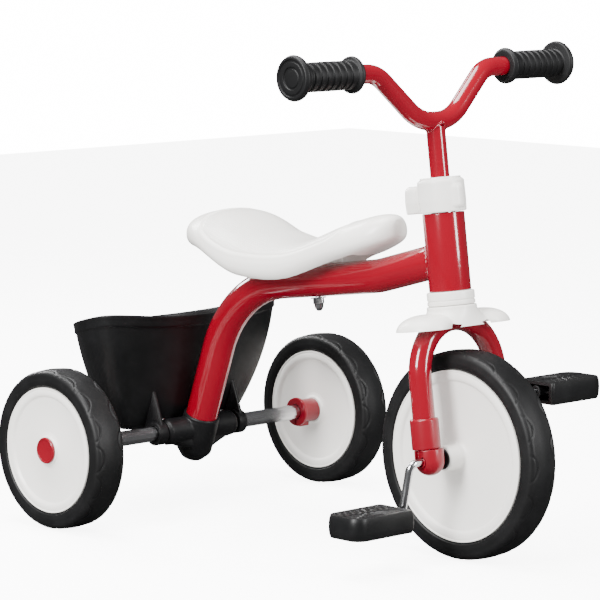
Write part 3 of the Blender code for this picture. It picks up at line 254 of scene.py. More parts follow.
def lofted(loops, closed=False):
    """A skin over loops of points, with its two ends closed or joined to each other."""
    mesh = bmesh.new()
    rings = [[mesh.verts.new(point) for point in loop] for loop in loops]
    if closed:
        rings.append(rings[0])
    else:
        first, last = (
            sum((Vector(point) for point in loops[end]), Vector()) / len(loops[end]) for end in (0, -1)
        )
        rings = [[mesh.verts.new(first)], *rings, [mesh.verts.new(last)]]
    for one, two in zip(rings, rings[1:]):
        bridge(mesh, one, two)
    return mesh


def swept(route, radius, count=40, normal=None, closed=False, soft_end=0.0):
    """A round bar along a way. radius may be a list with one size for each point."""
    sizes = radius if isinstance(radius, list) else [radius] * len(route)
    loops = []
    total = len(route)
    hold = normal
    for index, point in enumerate(route):
        before = route[index - 1] if closed or index else route[0]
        after = route[(index + 1) % total] if closed else route[min(index + 1, total - 1)]
        way = Vector()
        if (point - before).length > 1e-9:
            way += (point - before).normalized()
        if (after - point).length > 1e-9:
            way += (after - point).normalized()
        way.normalize()
        if hold is None:
            hold = way.orthogonal()
        if normal is None:
            hold = (hold - hold.dot(way) * way).normalized()
        flat = hold.cross(way).normalized()
        ring = []
        for step in range(count):
            turn = 2 * math.pi * step / count
            ring.append(point + sizes[index] * (math.cos(turn) * flat + math.sin(turn) * hold))
        loops.append((ring, point, way))
    rings = [ring for ring, point, way in loops]
    if soft_end and not closed:
        for place, outward in ((0, -1), (-1, 1)):
            ring, point, way = loops[place]
            for turn in (30, 60, 80):
                shrink = 1 - soft_end / sizes[place] * (1 - math.cos(math.radians(turn)))
                push = outward * soft_end * math.sin(math.radians(turn)) * way
                extra = [point + shrink * (spot - point) + push for spot in ring]
                rings.insert(0, extra) if place == 0 else rings.append(extra)
    return lofted(rings, closed)


def rod(start, end, radius, rounding=0.001, count=64):
    length = (end - start).length
    profile = rounded([(0, 0), (radius, 0, rounding), (radius, length, rounding), (0, length)])
    return turned(profile, start, end - start, count)


def slab(middle, size, turn=None, rounding=0.0):
    """A block with rounded edges, turned about its middle by a rotation matrix."""
    mesh = bmesh.new()
    bmesh.ops.create_cube(mesh, size=1.0)
    bmesh.ops.scale(mesh, vec=Vector(size), verts=mesh.verts)
    if rounding:
        bmesh.ops.bevel(mesh, geom=mesh.edges[:], offset=rounding, segments=4, affect="EDGES", profile=0.5)
    if turn:
        bmesh.ops.rotate(mesh, cent=Vector(), matrix=turn, verts=mesh.verts)
    bmesh.ops.translate(mesh, vec=middle, verts=mesh.verts)
    return mesh


def placed(name, data):
    made = bpy.data.objects.new(name, data)
    bpy.context.collection.objects.link(made)
    return made


def mesh_data(name, shape):
    data = bpy.data.meshes.new(name)
    shape.to_mesh(data)
    shape.free()
    return data


def blank(shapes):
    """A working object that holds closed shapes, to be melted or carved and then removed."""
    joined = bmesh.new()
    for shape in shapes:
        bmesh.ops.recalc_face_normals(shape, faces=shape.faces)
        data = mesh_data("blank", shape)
        joined.from_mesh(data)
        bpy.data.meshes.remove(data)
    return placed("blank", mesh_data("blank", joined))


def taken(working, others=()):
    """The finished mesh of a working object. It and its helpers are removed."""
    bpy.context.view_layer.update()
    shape = bmesh.new()
    shape.from_object(working, bpy.context.evaluated_depsgraph_get())
    for item in (working, *others):
        data = item.data
        bpy.data.objects.remove(item, do_unlink=True)
        bpy.data.meshes.remove(data)
    if not shape.faces:
        raise RuntimeError("a moulded or carved shape came out empty")
    return shape


def moulded(shapes, fineness, softness):
    """Closed shapes melted into one body, with its inner corners softened."""
    working = blank(shapes)
    melt = working.modifiers.new("Melt", "REMESH")
    melt.mode = "VOXEL"
    melt.voxel_size = fineness
    soften = working.modifiers.new("Soften", "SMOOTH")
    soften.factor = 0.5
    soften.iterations = softness
    return taken(working)


def carved(shape, cutters=(), added=()):
    """A shape with others cut from it or joined to it."""
    working = blank([shape])
    helpers = []
    for group, operation in ((added, "UNION"), (cutters, "DIFFERENCE")):
        for other in group:
            helper = blank([other])
            step = working.modifiers.new(operation, "BOOLEAN")
            step.operation = operation
            step.solver = "EXACT"
            step.object = helper
            helpers.append(helper)
    return taken(working, helpers)


def piece(name, mesh, finish, body, nodes=(), sharp=40):
    """Turns a mesh into a named piece with its finish, on the body that it moves with."""
    bmesh.ops.recalc_face_normals(mesh, faces=mesh.faces)
    data = mesh_data(name, mesh)
    data.shade_smooth()
    data.set_sharp_from_angle(angle=math.radians(sharp))
    made = placed(name, data)
    data.materials.append(bpy.data.materials["finished_" + finish])
    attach(made, body)
    if nodes:
        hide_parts(*nodes)
    return made


# ---- What a user would change


def colour(name, description, default):
    return FloatVectorProperty(
        name=name, description=description, default=default, size=3, min=0.0, max=1.0, subtype="COLOR"
    )


def share_of(name, description, default):
    return FloatProperty(
        name=name, description=description, default=default, min=0.0, max=1.0, subtype="FACTOR"
    )


def length(name, description, default):
    return FloatProperty(
        name=name, description=description, default=default, min=0.0, unit="LENGTH", precision=5
    )


class TricycleColours(bpy.types.PropertyGroup):
    paint: colour("Frame Paint", "Gloss paint on the tubes", (0.20, 0.0002, 0.0085))
    red_plastic: colour("Red Mouldings", "Fork ends, hub caps and stop bushes", (0.19, 0.0002, 0.0080))
    white_plastic: colour("White Mouldings", "Seat, wheels, collar and crown cover", (0.88, 0.86, 0.82))
    black_plastic: colour("Black Mouldings", "Basket, bracket, pedals and bushes", (0.0042, 0.0042, 0.0046))
    rubber: colour("Grips", "Soft plastic of the grips", (0.0040, 0.0040, 0.0044))
    tyre: colour("Tyres", "Rubber of the three tyres", (0.0050, 0.0050, 0.0053))
    steel: colour("Steel", "Crank, screws and the seat's nut", (0.66, 0.66, 0.68))
    # The rubbed red and the scuffed black are also the painted highlight on convex edges, besides real wear.
    rubbed_and_edge_lit_red: colour("Rubbed And Edge Lit Red", "Where the red is handled", (0.24, 0.0012, 0.0120))
    dulled_white: colour("Dulled White", "Where the white is handled", (0.80, 0.77, 0.71))
    scuffed_and_edge_lit_black: colour("Scuffed And Edge Lit Black", "Where the black is scuffed", (0.018, 0.018, 0.019))
    floor: colour("Floor", "The studio's floor", (0.93, 0.93, 0.93))


class TricycleDetails(bpy.types.PropertyGroup):
    wear: share_of("Wear", "How far the pieces look used", 0.35)
    grain_size: length("Grain Size", "Size of the fine grain in the mouldings", 0.0007)
    paint_ripple: length("Paint Ripple", "Size of the ripple in the gloss paint", 0.0040)
    weld_bead: length("Weld Bead", "Thickness of the weld beads", 0.0019)
    pip_pitch: length("Pip Pitch", "Distance between the seat's raised pips", 0.0030)
    seat_crease: length("Seat Crease", "Depth of the crease round the seat's panel", 0.0012)
    tread_depth: length("Tread Groove Depth", "Depth of the curved grooves in the tyres", 0.0008)
    tread_grooves: IntProperty(
        name="Tread Grooves", description="On each side of a tyre", default=16, min=0, max=24
    )
    rib_depth: length("Grip Rib Depth", "Depth of the rings round the grips", 0.0013)
    pedal_relief: length("Pedal Relief", "Height of the raised pattern on the pedals", 0.0009)
    soft_light: FloatProperty(
        name="Soft Light", description="Power of the studio's lights", default=1.0, min=0.0
    )


# ---- Finishes


def node(tree, kind, inputs=None, **settings):
    made = tree.nodes.new("ShaderNode" + kind)
    for name, value in settings.items():
        setattr(made, name, value)
    for key, value in (inputs or {}).items():
        if isinstance(value, bpy.types.NodeSocket):
            tree.links.new(value, made.inputs[key])
        else:
            made.inputs[key].default_value = value
    return made


def sum_of(tree, operation, one, two=0.0):
    return node(tree, "Math", {0: one, 1: two}, operation=operation).outputs[0]


def group_node(tree, group, inputs=None):
    return node(tree, "Group", inputs, node_tree=bpy.data.node_groups[group])


def noise_of(tree, place, scale, detail, roughness):
    inputs = {"Vector": place, "Scale": scale, "Detail": detail, "Roughness": roughness}
    return node(tree, "TexNoise", inputs).outputs[0]


def ranged(tree, value, low, high, start=0.0, end=1.0, **settings):
    return node(tree, "MapRange", {0: value, 1: low, 2: high, 3: start, 4: end}, **settings).outputs[0]


def new_group(name, inputs, outputs):
    tree = bpy.data.node_groups.new(name, "ShaderNodeTree")
    for label, kind, value in inputs:
        socket = tree.interface.new_socket(label, in_out="INPUT", socket_type="NodeSocket" + kind)
        socket.default_value = value
    for label, kind in outputs:
        tree.interface.new_socket(label, in_out="OUTPUT", socket_type="NodeSocket" + kind)
    return tree, tree.nodes.new("NodeGroupInput").outputs, tree.nodes.new("NodeGroupOutput").inputs


def moulded_grain_group():
    """A fine grain over a slow ripple, as a moulding or a coat of paint has."""
    inputs = [
        ("Grain Size", "Float", 0.0007), ("Ripple Size", "Float", 0.012), ("Ripple Share", "Float", 0.3),
    ]
    tree, given, put = new_group("Moulded Grain", inputs, [("Height", "Float"), ("Mottle", "Float")])
    place = node(tree, "TexCoord").outputs["Object"]
    fine_scale = sum_of(tree, "DIVIDE", 1.0, given["Grain Size"])
    slow_scale = sum_of(tree, "DIVIDE", 1.0, given["Ripple Size"])
    fine = noise_of(tree, place, fine_scale, 2.0, 0.6)
    slow = noise_of(tree, place, slow_scale, 1.0, 0.4)
    mixed = node(tree, "Mix", {0: given["Ripple Share"], 2: fine, 3: slow})
    tree.links.new(mixed.outputs[0], put["Height"])
    broad = noise_of(tree, place, 34.0, 5.0, 0.62)
    tree.links.new(broad, put["Mottle"])
    return tree


def handling_and_edge_highlight_group():
    """Rubbed patches, hairline scuffs, and a painted highlight that makes the convex edges paler."""
    inputs = [
        ("Colour", "Color", (0.5, 0.5, 0.5, 1.0)),
        ("Wear And Edge Highlight Colour", "Color", (0.6, 0.6, 0.6, 1.0)),
        ("Amount", "Float", 0.3),
        ("Edge Highlight Share", "Float", 0.3),
        ("Roughness", "Float", 0.3),
        ("Roughness Spread", "Float", 0.1),
    ]
    tree, given, put = new_group("Handling And Edge Highlight", inputs, [("Colour", "Color"), ("Roughness", "Float")])
    place = node(tree, "TexCoord").outputs["Object"]
    patches = noise_of(tree, place, 22.0, 6.0, 0.65)
    patch = ranged(tree, patches, 0.42, 0.72)
    stretched = node(
        tree, "Mapping", {"Vector": place, "Rotation": (0.5, 0.3, 0.9), "Scale": (30.0, 460.0, 90.0)}
    )
    lines = noise_of(tree, stretched.outputs[0], 1.0, 3.0, 0.7)
    scuff = ranged(tree, lines, 0.66, 0.74)
    # Painted highlight: convex edges, found by pointiness, take the lighter colour as a thin line of light.
    pointed = node(tree, "NewGeometry").outputs["Pointiness"]
    edge_highlight = ranged(tree, pointed, 0.51, 0.60)
    painted_edge_highlight = sum_of(tree, "MULTIPLY", edge_highlight, given["Edge Highlight Share"])
    # The rubbed patches and scuffs are real wear; the painted edge highlight joins them in the mask below.
    rubbed = sum_of(tree, "MAXIMUM", patch, scuff)
    worn = sum_of(tree, "MULTIPLY", rubbed, given["Amount"])
    wear_and_highlight_mask = sum_of(tree, "MAXIMUM", worn, painted_edge_highlight)
    mixed = node(tree, "Mix", {0: wear_and_highlight_mask, 6: given["Colour"], 7: given["Wear And Edge Highlight Colour"]}, data_type="RGBA")
    tree.links.new(mixed.outputs[2], put["Colour"])
    spread = sum_of(
        tree, "MULTIPLY", sum_of(tree, "SUBTRACT", patches, 0.5), given["Roughness Spread"]
    )
    scuffed = sum_of(tree, "MULTIPLY", scuff, sum_of(tree, "MULTIPLY", given["Amount"], 0.12))
    total = sum_of(tree, "ADD", sum_of(tree, "ADD", given["Roughness"], spread), scuffed)
    tree.links.new(total, put["Roughness"])
    return tree


def mottled_colour_group():
    """A colour that drifts a little lighter and darker over the surface."""
    inputs = [("Colour", "Color", (0.5, 0.5, 0.5, 1.0)), ("Mottle", "Float", 0.5), ("Strength", "Float", 0.1)]
    tree, given, put = new_group("Mottled Colour", inputs, [("Colour", "Color")])
    swing = sum_of(tree, "MULTIPLY", sum_of(tree, "SUBTRACT", given["Mottle"], 0.5), given["Strength"])
    value = sum_of(tree, "ADD", 1.0, swing)
    shifted = node(tree, "HueSaturation", {"Value": value, "Color": given["Colour"]})
    tree.links.new(shifted.outputs[0], put["Colour"])
    return tree


def finish(
    name, base, rubbed, rough, spread, grain, ripple, share, bump_height, amount, edge_highlight, mottle, **sockets
):
    """One material: mottled, handled and grained, with a painted highlight on its convex edges, and its even
    values on the shader itself.
    """
    made = bpy.data.materials.new("finished_" + name)
    made.use_nodes = True
    tree = made.node_tree
    shader = tree.nodes["Principled BSDF"]
    grains = group_node(tree, "Moulded Grain", {
        "Grain Size": grain, "Ripple Size": ripple, "Ripple Share": share,
    })
    tinted = group_node(tree, "Mottled Colour", {"Colour": (*base, 1.0), "Strength": mottle})
    tree.links.new(grains.outputs["Mottle"], tinted.inputs["Mottle"])
    handled = group_node(tree, "Handling And Edge Highlight", {
        "Wear And Edge Highlight Colour": (*rubbed, 1.0), "Amount": amount, "Edge Highlight Share": edge_highlight, "Roughness": rough,
        "Roughness Spread": spread,
    })
    tree.links.new(tinted.outputs["Colour"], handled.inputs["Colour"])
    tree.links.new(handled.outputs["Colour"], shader.inputs["Base Color"])
    tree.links.new(handled.outputs["Roughness"], shader.inputs["Roughness"])
    relief = node(
        tree, "Bump", {"Height": grains.outputs["Height"], "Strength": 1.0, "Distance": bump_height}
    )
    relief.name = "Relief"
    tree.links.new(relief.outputs[0], shader.inputs["Normal"])
    for label, value in sockets.items():
        shader.inputs[label.replace("_", " ")].default_value = value
    return made


def pips(made, pitch):
    """Adds the fine raised pips to the seat's panel, in a lattice that lies cornerwise."""
    tree = made.node_tree
    relief = tree.nodes["Relief"]
    place = node(tree, "SeparateXYZ", {0: node(tree, "TexCoord").outputs["Object"]}).outputs
    turns = 2 * math.pi / pitch
    waves = []
    for axis in (0, 1):
        wave = sum_of(tree, "MULTIPLY", place[axis], turns)
        waves.append(sum_of(tree, "COSINE", wave))
    lattice = sum_of(tree, "ADD", waves[0], waves[1])
    raised = ranged(tree, lattice, 0.1, 1.6, interpolation_type="SMOOTHSTEP")
    panel = node(tree, "Attribute", attribute_name="panel", attribute_type="GEOMETRY").outputs["Fac"]
    height = sum_of(tree, "MULTIPLY", raised, panel)
    # The pips shade the panel a little, as their sides turn from the light; the bump gives that, and the base
    # colour between the pips is also darkened as painted shade.
    over = node(tree, "Bump", {"Height": height, "Strength": 1.0, "Distance": 0.00028})
    tree.links.new(relief.outputs[0], over.inputs["Normal"])
    shader = tree.nodes["Principled BSDF"]
    tree.links.new(over.outputs[0], shader.inputs["Normal"])
    old = shader.inputs["Base Color"].links[0].from_socket
    # Painted shade: the panel between the pips is up to a tenth darker than on the pips.
    shade = sum_of(
        tree, "SUBTRACT", 1.0, sum_of(tree, "MULTIPLY", sum_of(tree, "SUBTRACT", panel, height), 0.10)
    )
    shaded = node(tree, "HueSaturation", {"Value": shade, "Color": old})
    tree.links.new(shaded.outputs[0], shader.inputs["Base Color"])


def make_finishes(colours, details):
    for group in (moulded_grain_group, handling_and_edge_highlight_group, mottled_colour_group):
        group()
    grain = details.grain_size
    wear = details.wear
    # The rubbed red and the scuffed black serve for real wear and also as the colour of the painted edge
    # highlight.
    red, rubbed = tuple(colours.paint), tuple(colours.rubbed_and_edge_lit_red)
    white, dulled = tuple(colours.white_plastic), tuple(colours.dulled_white)
    black, scuffed = tuple(colours.black_plastic), tuple(colours.scuffed_and_edge_lit_black)
    # In each call, the last number but one is the share of painted highlight on convex edges, drawn in the
    # rubbed or scuffed colour.
    finish(
        "red_paint", red, rubbed, 0.17, 0.06, grain, details.paint_ripple, 0.85, 0.00006, 0.35 * wear,
        0.15, 0.06,
        Coat_Weight=0.7, Coat_Roughness=0.04,
    )
    finish(
        "red_plastic", tuple(colours.red_plastic), rubbed, 0.30, 0.12, grain, 0.010, 0.45, 0.00005,
        0.5 * wear, 0.25, 0.08, Coat_Weight=0.15, Coat_Roughness=0.12, Specular_IOR_Level=0.40,
    )
    for name in ("white_plastic", "seat_plastic"):
        made = finish(
            name, white, dulled, 0.33, 0.14, grain, 0.014, 0.40, 0.00005, 0.55 * wear, 0.0, 0.05,
            Coat_Weight=0.12, Coat_Roughness=0.15,
        )
    pips(made, details.pip_pitch)
    finish(
        "black_plastic", black, scuffed, 0.40, 0.20, grain, 0.009, 0.30, 0.00009, 0.7 * wear, 0.55, 0.20,
        Specular_IOR_Level=0.30,
    )
    finish(
        "grip_rubber", tuple(colours.rubber), scuffed, 0.52, 0.16, 0.8 * grain, 0.006, 0.25, 0.00008,
        0.6 * wear, 0.35, 0.20, Specular_IOR_Level=0.28,
    )
    finish(
        "tyre_rubber", tuple(colours.tyre), scuffed, 0.50, 0.18, 1.2 * grain, 0.008, 0.30, 0.00010,
        0.9 * wear, 0.25, 0.25, Specular_IOR_Level=0.30,
    )
    steel = tuple(colours.steel)
    finish(
        "steel", steel, tuple(0.8 * value for value in steel), 0.20, 0.16, 0.5 * grain, 0.004, 0.5, 0.00004,
        0.8 * wear, 0.0, 0.12, Metallic=1.0,
    )


# ---- Frame


def main_tube_corners():
    """The foot of the down tube, the two corners of the centre line, and the middle of the head tube."""
    return [
        down_tube_point(0.062),
        from_axle(0.0623, 0, 0.2547),
        from_axle(0.290, 0, 0.28549),
        from_axle(0.38890, 0, 0.31291),
    ]


SEAT_BOLT_PLACE = from_axle(0.194, 0, 0.2725)
SEAT_SLOPE = math.radians(7.7)
SEAT_UP = Vector((-math.sin(SEAT_SLOPE), 0, math.cos(SEAT_SLOPE)))


def weld_bead(start, way, tube_radius, base_point, base_way, base_radius, thickness):
    """A rippled bead where one round tube meets the outside of another."""
    way = way.normalized()
    base_way = base_way.normalized()
    side = ACROSS if abs(way.dot(ACROSS)) < 0.9 else UP
    side = (side - side.dot(way) * way).normalized()
    rise = way.cross(side)
    route = []
    sizes = []
    count = 120
    for step in range(count):
        turn = 2 * math.pi * step / count
        spot = start + tube_radius * (math.cos(turn) * side + math.sin(turn) * rise)
        # Where the line from this spot first comes within the other tube's radius of its axis.
        rest = spot - base_point
        rest -= rest.dot(base_way) * base_way
        flat = way - way.dot(base_way) * base_way
        a, b, c = flat.dot(flat), 2 * rest.dot(flat), rest.dot(rest) - base_radius**2
        under = max(b * b - 4 * a * c, 0.0)
        route.append(spot + (-b - math.sqrt(under)) / (2 * a) * way)
        sizes.append(thickness * (1 + 0.13 * math.sin(26 * turn) + 0.10 * noise.noise(400 * spot)))
    return swept(route, sizes, 14, closed=True)


def make_frame_tubes(details):
    corners = main_tube_corners()
    route = bent_route(corners, [0.130, 0.120], math.radians(2))
    # The tube stops just inside the wall of the head tube.
    way = (corners[3] - corners[2]).normalized()
    route[-1] = corners[3] - 0.0110 * way
    piece(
        "painted_main_tube", swept(route, MAIN_TUBE_RADIUS, 72, ACROSS), "red_paint", "frame", ["main_tube"]
    )
    low, high = HEAD_TUBE_LOW, HEAD_TUBE_HIGH
    inner = HEAD_TUBE_RADIUS - 0.002
    outline = rounded([
        (inner, low, 0.0004), (HEAD_TUBE_RADIUS, low, 0.0009), (HEAD_TUBE_RADIUS, high, 0.0009),
        (inner, high, 0.0004),
    ])
    piece("painted_head_tube", turned(outline, STEERING_FOOT, UP, 120), "red_paint", "frame", ["head_tube"])
    bead = weld_bead(
        corners[2], way, MAIN_TUBE_RADIUS, STEERING_FOOT, UP, HEAD_TUBE_RADIUS + 0.0002, details.weld_bead
    )
    piece("frame_weld_bead", bead, "red_paint", "frame")


def make_headset():
    low = HEAD_TUBE_LOW - 0.0003
    base = low - 0.0145
    ring = rounded([
        (0.0134, base, 0.0004), (0.0250, base, 0.0014), (0.0250, base + 0.0040, 0.0003),
        (0.0242, base + 0.0046, 0.0003), (0.0242, base + 0.0054, 0.0003),
        (0.0250, base + 0.0060, 0.0006), (0.0250, low - 0.0006, 0.0012), (0.0226, low, 0.0004),
        (0.0134, low),
    ])
    piece(
        "lower_ring", turned(ring, STEERING_FOOT, UP, 120), "white_plastic", "frame", ["lower_bearing_ring"]
    )


# ---- Steering


COLLAR_LOW = HEAD_TUBE_HIGH + 0.0005
COLLAR_HIGH = COLLAR_LOW + 0.0345
COLLAR_LOBE = -0.0352


def collar_pieces():
    """The drum, the domed lobe behind it for the bolt, a web between them and the swelling in front."""
    low, high = COLLAR_LOW, COLLAR_HIGH
    drum = rounded([
        (0, low), (0.0245, low, 0.0012), (0.0250, low + 0.012, 0.02), (0.0245, high - 0.0015, 0.0040),
        (0.0210, high + 0.0002), (0, high + 0.0002),
    ])
    lobe_top = low + 0.0290
    lobe = rounded([
        (0, low), (0.0128, low, 0.0015), (0.0135, low + 0.012, 0.02), (0.0125, lobe_top, 0.0105), (
            0, lobe_top
        ),
    ], 10)
    shapes = [turned(drum, STEERING_FOOT, UP, 96), turned(lobe, on_steering(COLLAR_LOBE, 0, 0), UP, 64)]
    turn = Matrix.Rotation(-TILT, 3, "Y")
    shapes.append(slab(on_steering(-0.0265, 0, low + 0.0115), (0.012, 0.0185, 0.0215), turn, 0.003))
    front = rounded([(0, low + 0.0025), (0.0125, low + 0.0025, 0.005), (0.0125, high - 0.0045, 0.008),
                     (0, high - 0.0045)], 8)
    shapes.append(turned(front, on_steering(0.0150, 0, 0), UP, 64))
    return moulded(shapes, 0.00062, 6)


def make_collar():
    low, high = COLLAR_LOW, COLLAR_HIGH
    cutters = []
    for turn in (-58, -28):
        outward = Vector((math.sin(math.radians(turn)), -math.cos(math.radians(turn))))
        sideways = Vector((outward.y, -outward.x))
        loops = []
        for reach in (0.0120, 0.0290):
            loop = []
            for step in range(13):
                angle = math.pi * step / 12
                shift = 0.0011 * math.cos(angle)
                spot = reach * outward + shift * sideways
                loop.append(on_steering(spot.x, spot.y, low + 0.0105 + 0.0011 * math.sin(angle)))
            for shift in (-0.0011, 0.0011):
                spot = reach * outward + shift * sideways
                loop.append(on_steering(spot.x, spot.y, low - 0.004))
            loops.append(loop)
        cutters.append(lofted(loops))
    body = carved(collar_pieces(), cutters)
    piece("collar_body", body, "white_plastic", "steering", ["clamp_collar"], 50)
    lip = rounded([
        (0.0103, high - 0.001), (0.0215, high - 0.001), (0.0213, high + 0.0020, 0.0009),
        (0.0172, high + 0.0020, 0.0008), (0.0160, high + 0.0008, 0.0006),
        (0.0103, high + 0.0008, 0.0003),
    ])
    piece("collar_lip", turned(lip, STEERING_FOOT, UP, 110), "white_plastic", "steering", ["clamp_collar"])
    socket = on_steering(COLLAR_LOBE, 0.0120, low + 0.01725)
    head = rounded([
        (0, 0), (0.0050, 0), (0.0050, 0.0012, 0.0004), (0.0046, 0.0032, 0.0010),
        (0.0026, 0.0032, 0.0003), (0.0024, 0.0014, 0.0002), (0, 0.0014),
    ])
    piece("collar_bolt_head", turned(head, socket, ACROSS, 48), "steel", "steering", ["collar_bolt"])


def fork_route():
    corners = [
        on_steering(0, -FORK_HALF_SPREAD, FORK_FOOT),
        on_steering(0, -FORK_HALF_SPREAD, FORK_TOP),
        on_steering(0, FORK_HALF_SPREAD, FORK_TOP),
        on_steering(0, FORK_HALF_SPREAD, FORK_FOOT),
    ]
    radius = FORK_HALF_SPREAD - 1e-5
    return bent_route(corners, [radius, radius], math.radians(3))


def cover_skirt():
    """The crown cover: a neck, a skirt and a domed hood over each leg, melted together and hollowed out."""
    rim = 0.1338
    top = 0.1559
    neck = rounded([(0, rim - 0.004), (0.0262, rim - 0.004), (0.0262, top, 0.0010), (0, top)])
    shapes = [turned(neck, STEERING_FOOT, UP, 96)]

    def oval(half_width, half_depth, height, squareness=1.0):
        loop = []
        for step in range(96):
            angle = 2 * math.pi * step / 96
            across = half_width * power(math.sin(angle), squareness)
            loop.append(on_steering(half_depth * power(math.cos(angle), squareness), across, height))
        return loop

    skirt = []
    for share in (0.0, 0.08, 0.2, 0.35, 0.5, 0.65, 0.8, 0.9, 1.0, 1.25):
        flare = share**1.5
        height = top - 0.0048 - share * (top - 0.0048 - rim)
        skirt.append(oval(0.0262 + 0.0350 * flare, 0.0262 + 0.0022 * flare, height, 0.96))
    shapes.append(lofted(skirt))
    for side in (-1, 1):
        hood = []
        for step in range(1, 22):
            angle = math.pi * step / 22
            height = rim + 0.0002 + 0.0160 * power(math.cos(angle), 0.9)
            reach = power(math.sin(angle), 0.85)
            loop = []
            for point in range(72):
                turn = 2 * math.pi * point / 72
                across = side * 0.0440 + 0.0280 * reach * math.cos(turn)
                # The hood leans outward, so that its highest line starts at the neck.
                across -= side * 0.30 * max(height - rim, 0.0)
                loop.append(on_steering(0.0306 * reach * math.sin(turn), across, height))
            hood.append(loop)
        shapes.append(lofted(hood))
    body = moulded(shapes, 0.00075, 5)
    below = []
    inside = []
    for height in (rim - 0.030, rim):
        below.append(oval(0.090, 0.060, height))
    for share in (0.0, 0.3, 0.6, 0.8, 0.92, 1.0):
        shrink = math.sqrt(max(1 - share**2.4, 0.02))
        inside.append(oval(0.0690 * shrink, 0.0282 * shrink, rim - 0.001 + 0.0120 * share, 0.9))
    return carved(body, [lofted(below), lofted(inside)])


def make_fork():
    piece("painted_fork", swept(fork_route(), FORK_RADIUS, 56, AHEAD), "red_paint", "steering", ["fork_tube"])
    piece("cover_skirt", cover_skirt(), "white_plastic", "steering", ["crown_cover"], 50)
    for name, side in SIDES.items():
        foot = on_steering(0, side * FORK_HALF_SPREAD, 0)
        sleeve = rounded([
            (0, 0.0124), (0.0146, 0.0124, 0.0004), (0.0150, 0.0134, 0.0006), (0.0150, 0.0424, 0.0014),
            (0.0138, 0.0440, 0.0006), (0.0119, 0.0440, 0.0003), (0.0119, 0.0300), (0, 0.0300),
        ])
        made = turned(sleeve, foot, UP, 80)
        piece("fork_sleeve_" + name, made, "red_plastic", "steering", ["fork_end_" + name])
        piece("fork_ball_" + name, fork_ball(side), "red_plastic", "steering", ["fork_cap_" + name], 45)
        bush = rounded([
            (0.0044, 0.0378), (0.01135, 0.0378, 0.0008), (0.01135, 0.0400, 0.0008),
            (0.0095, 0.0406, 0.0005), (0.0062, 0.0412), (0.0062, 0.0620, 0.0006),
            (0.0044, 0.0620, 0.0003),
        ])
        made = turned(bush, FRONT_AXLE, side * ACROSS, 72)
        piece("crank_bearing_" + name, made, "black_plastic", "steering", ["crank_bush_" + name])


def fork_ball(side):
    """The round foot of a fork leg, open on its outer side where the crank comes out."""
    centre = FRONT_AXLE + side * FORK_HALF_SPREAD * ACROSS
    radius = 0.0153
    outline = [(0, -radius)]
    for step in range(1, 25):
        angle = 0.5 * math.pi * (step / 24 - 1)
        outline.append((radius * math.cos(angle), radius * math.sin(angle)))
    outline += rounded([(radius, 0.0002), (radius, 0.0119, 0.0008), (0, 0.0119)])[1:]
    ball = turned(outline, centre, UP, 96)
    out = side * ACROSS
    through = rod(centre - 0.03 * out, centre + 0.03 * out, 0.00645, 0, 64)
    recess = turned(
        [(0, 0.0105), (0.0066, 0.0105), (0.0074, 0.0135), (0.0082, 0.03), (0, 0.03)], centre, out, 64
    )
    notch = slab(centre + 0.0165 * out + Vector((-0.001, 0, 0.0060)), (0.0104, 0.0110, 0.0120), None, 0.0016)
    foot = carved(ball, [through, recess])
    ring = rounded([(0.0048, 0.0085), (0.0064, 0.0085), (0.0064, 0.0142, 0.0006), (0.0048, 0.0142, 0.0004)])
    collar = turned(ring, centre, out, 64)
    return carved(foot, [notch], [collar])


def make_handlebar(details):
    corners = [
        on_steering(0, -0.1962, BAR_HIGH),
        on_steering(0, -0.0807, BAR_HIGH),
        on_steering(0, -0.0235, BAR_LOW),
        on_steering(0, 0.0235, BAR_LOW),
        on_steering(0, 0.0807, BAR_HIGH),
        on_steering(0, 0.1962, BAR_HIGH),
    ]
    route = bent_route(corners, [0.034, 0.050, 0.050, 0.034], math.radians(3))
    piece("painted_bar", swept(route, BAR_RADIUS, 56, AHEAD), "red_paint", "steering", ["handlebar_tube"])
    stem = turned([(0, 0.215), (BAR_RADIUS, 0.215), (BAR_RADIUS, BAR_LOW - 0.0060), (0, BAR_LOW - 0.0060)],
                  STEERING_FOOT, UP, 80)
    piece("painted_stem", stem, "red_paint", "steering", ["stem_tube"])
    bead = weld_bead(
        on_steering(0, 0, 0.320), UP, BAR_RADIUS - 0.0002, on_steering(0, 0, BAR_LOW), ACROSS,
        BAR_RADIUS, 0.85 * details.weld_bead,
    )
    piece("bar_weld_bead", bead, "red_paint", "steering")


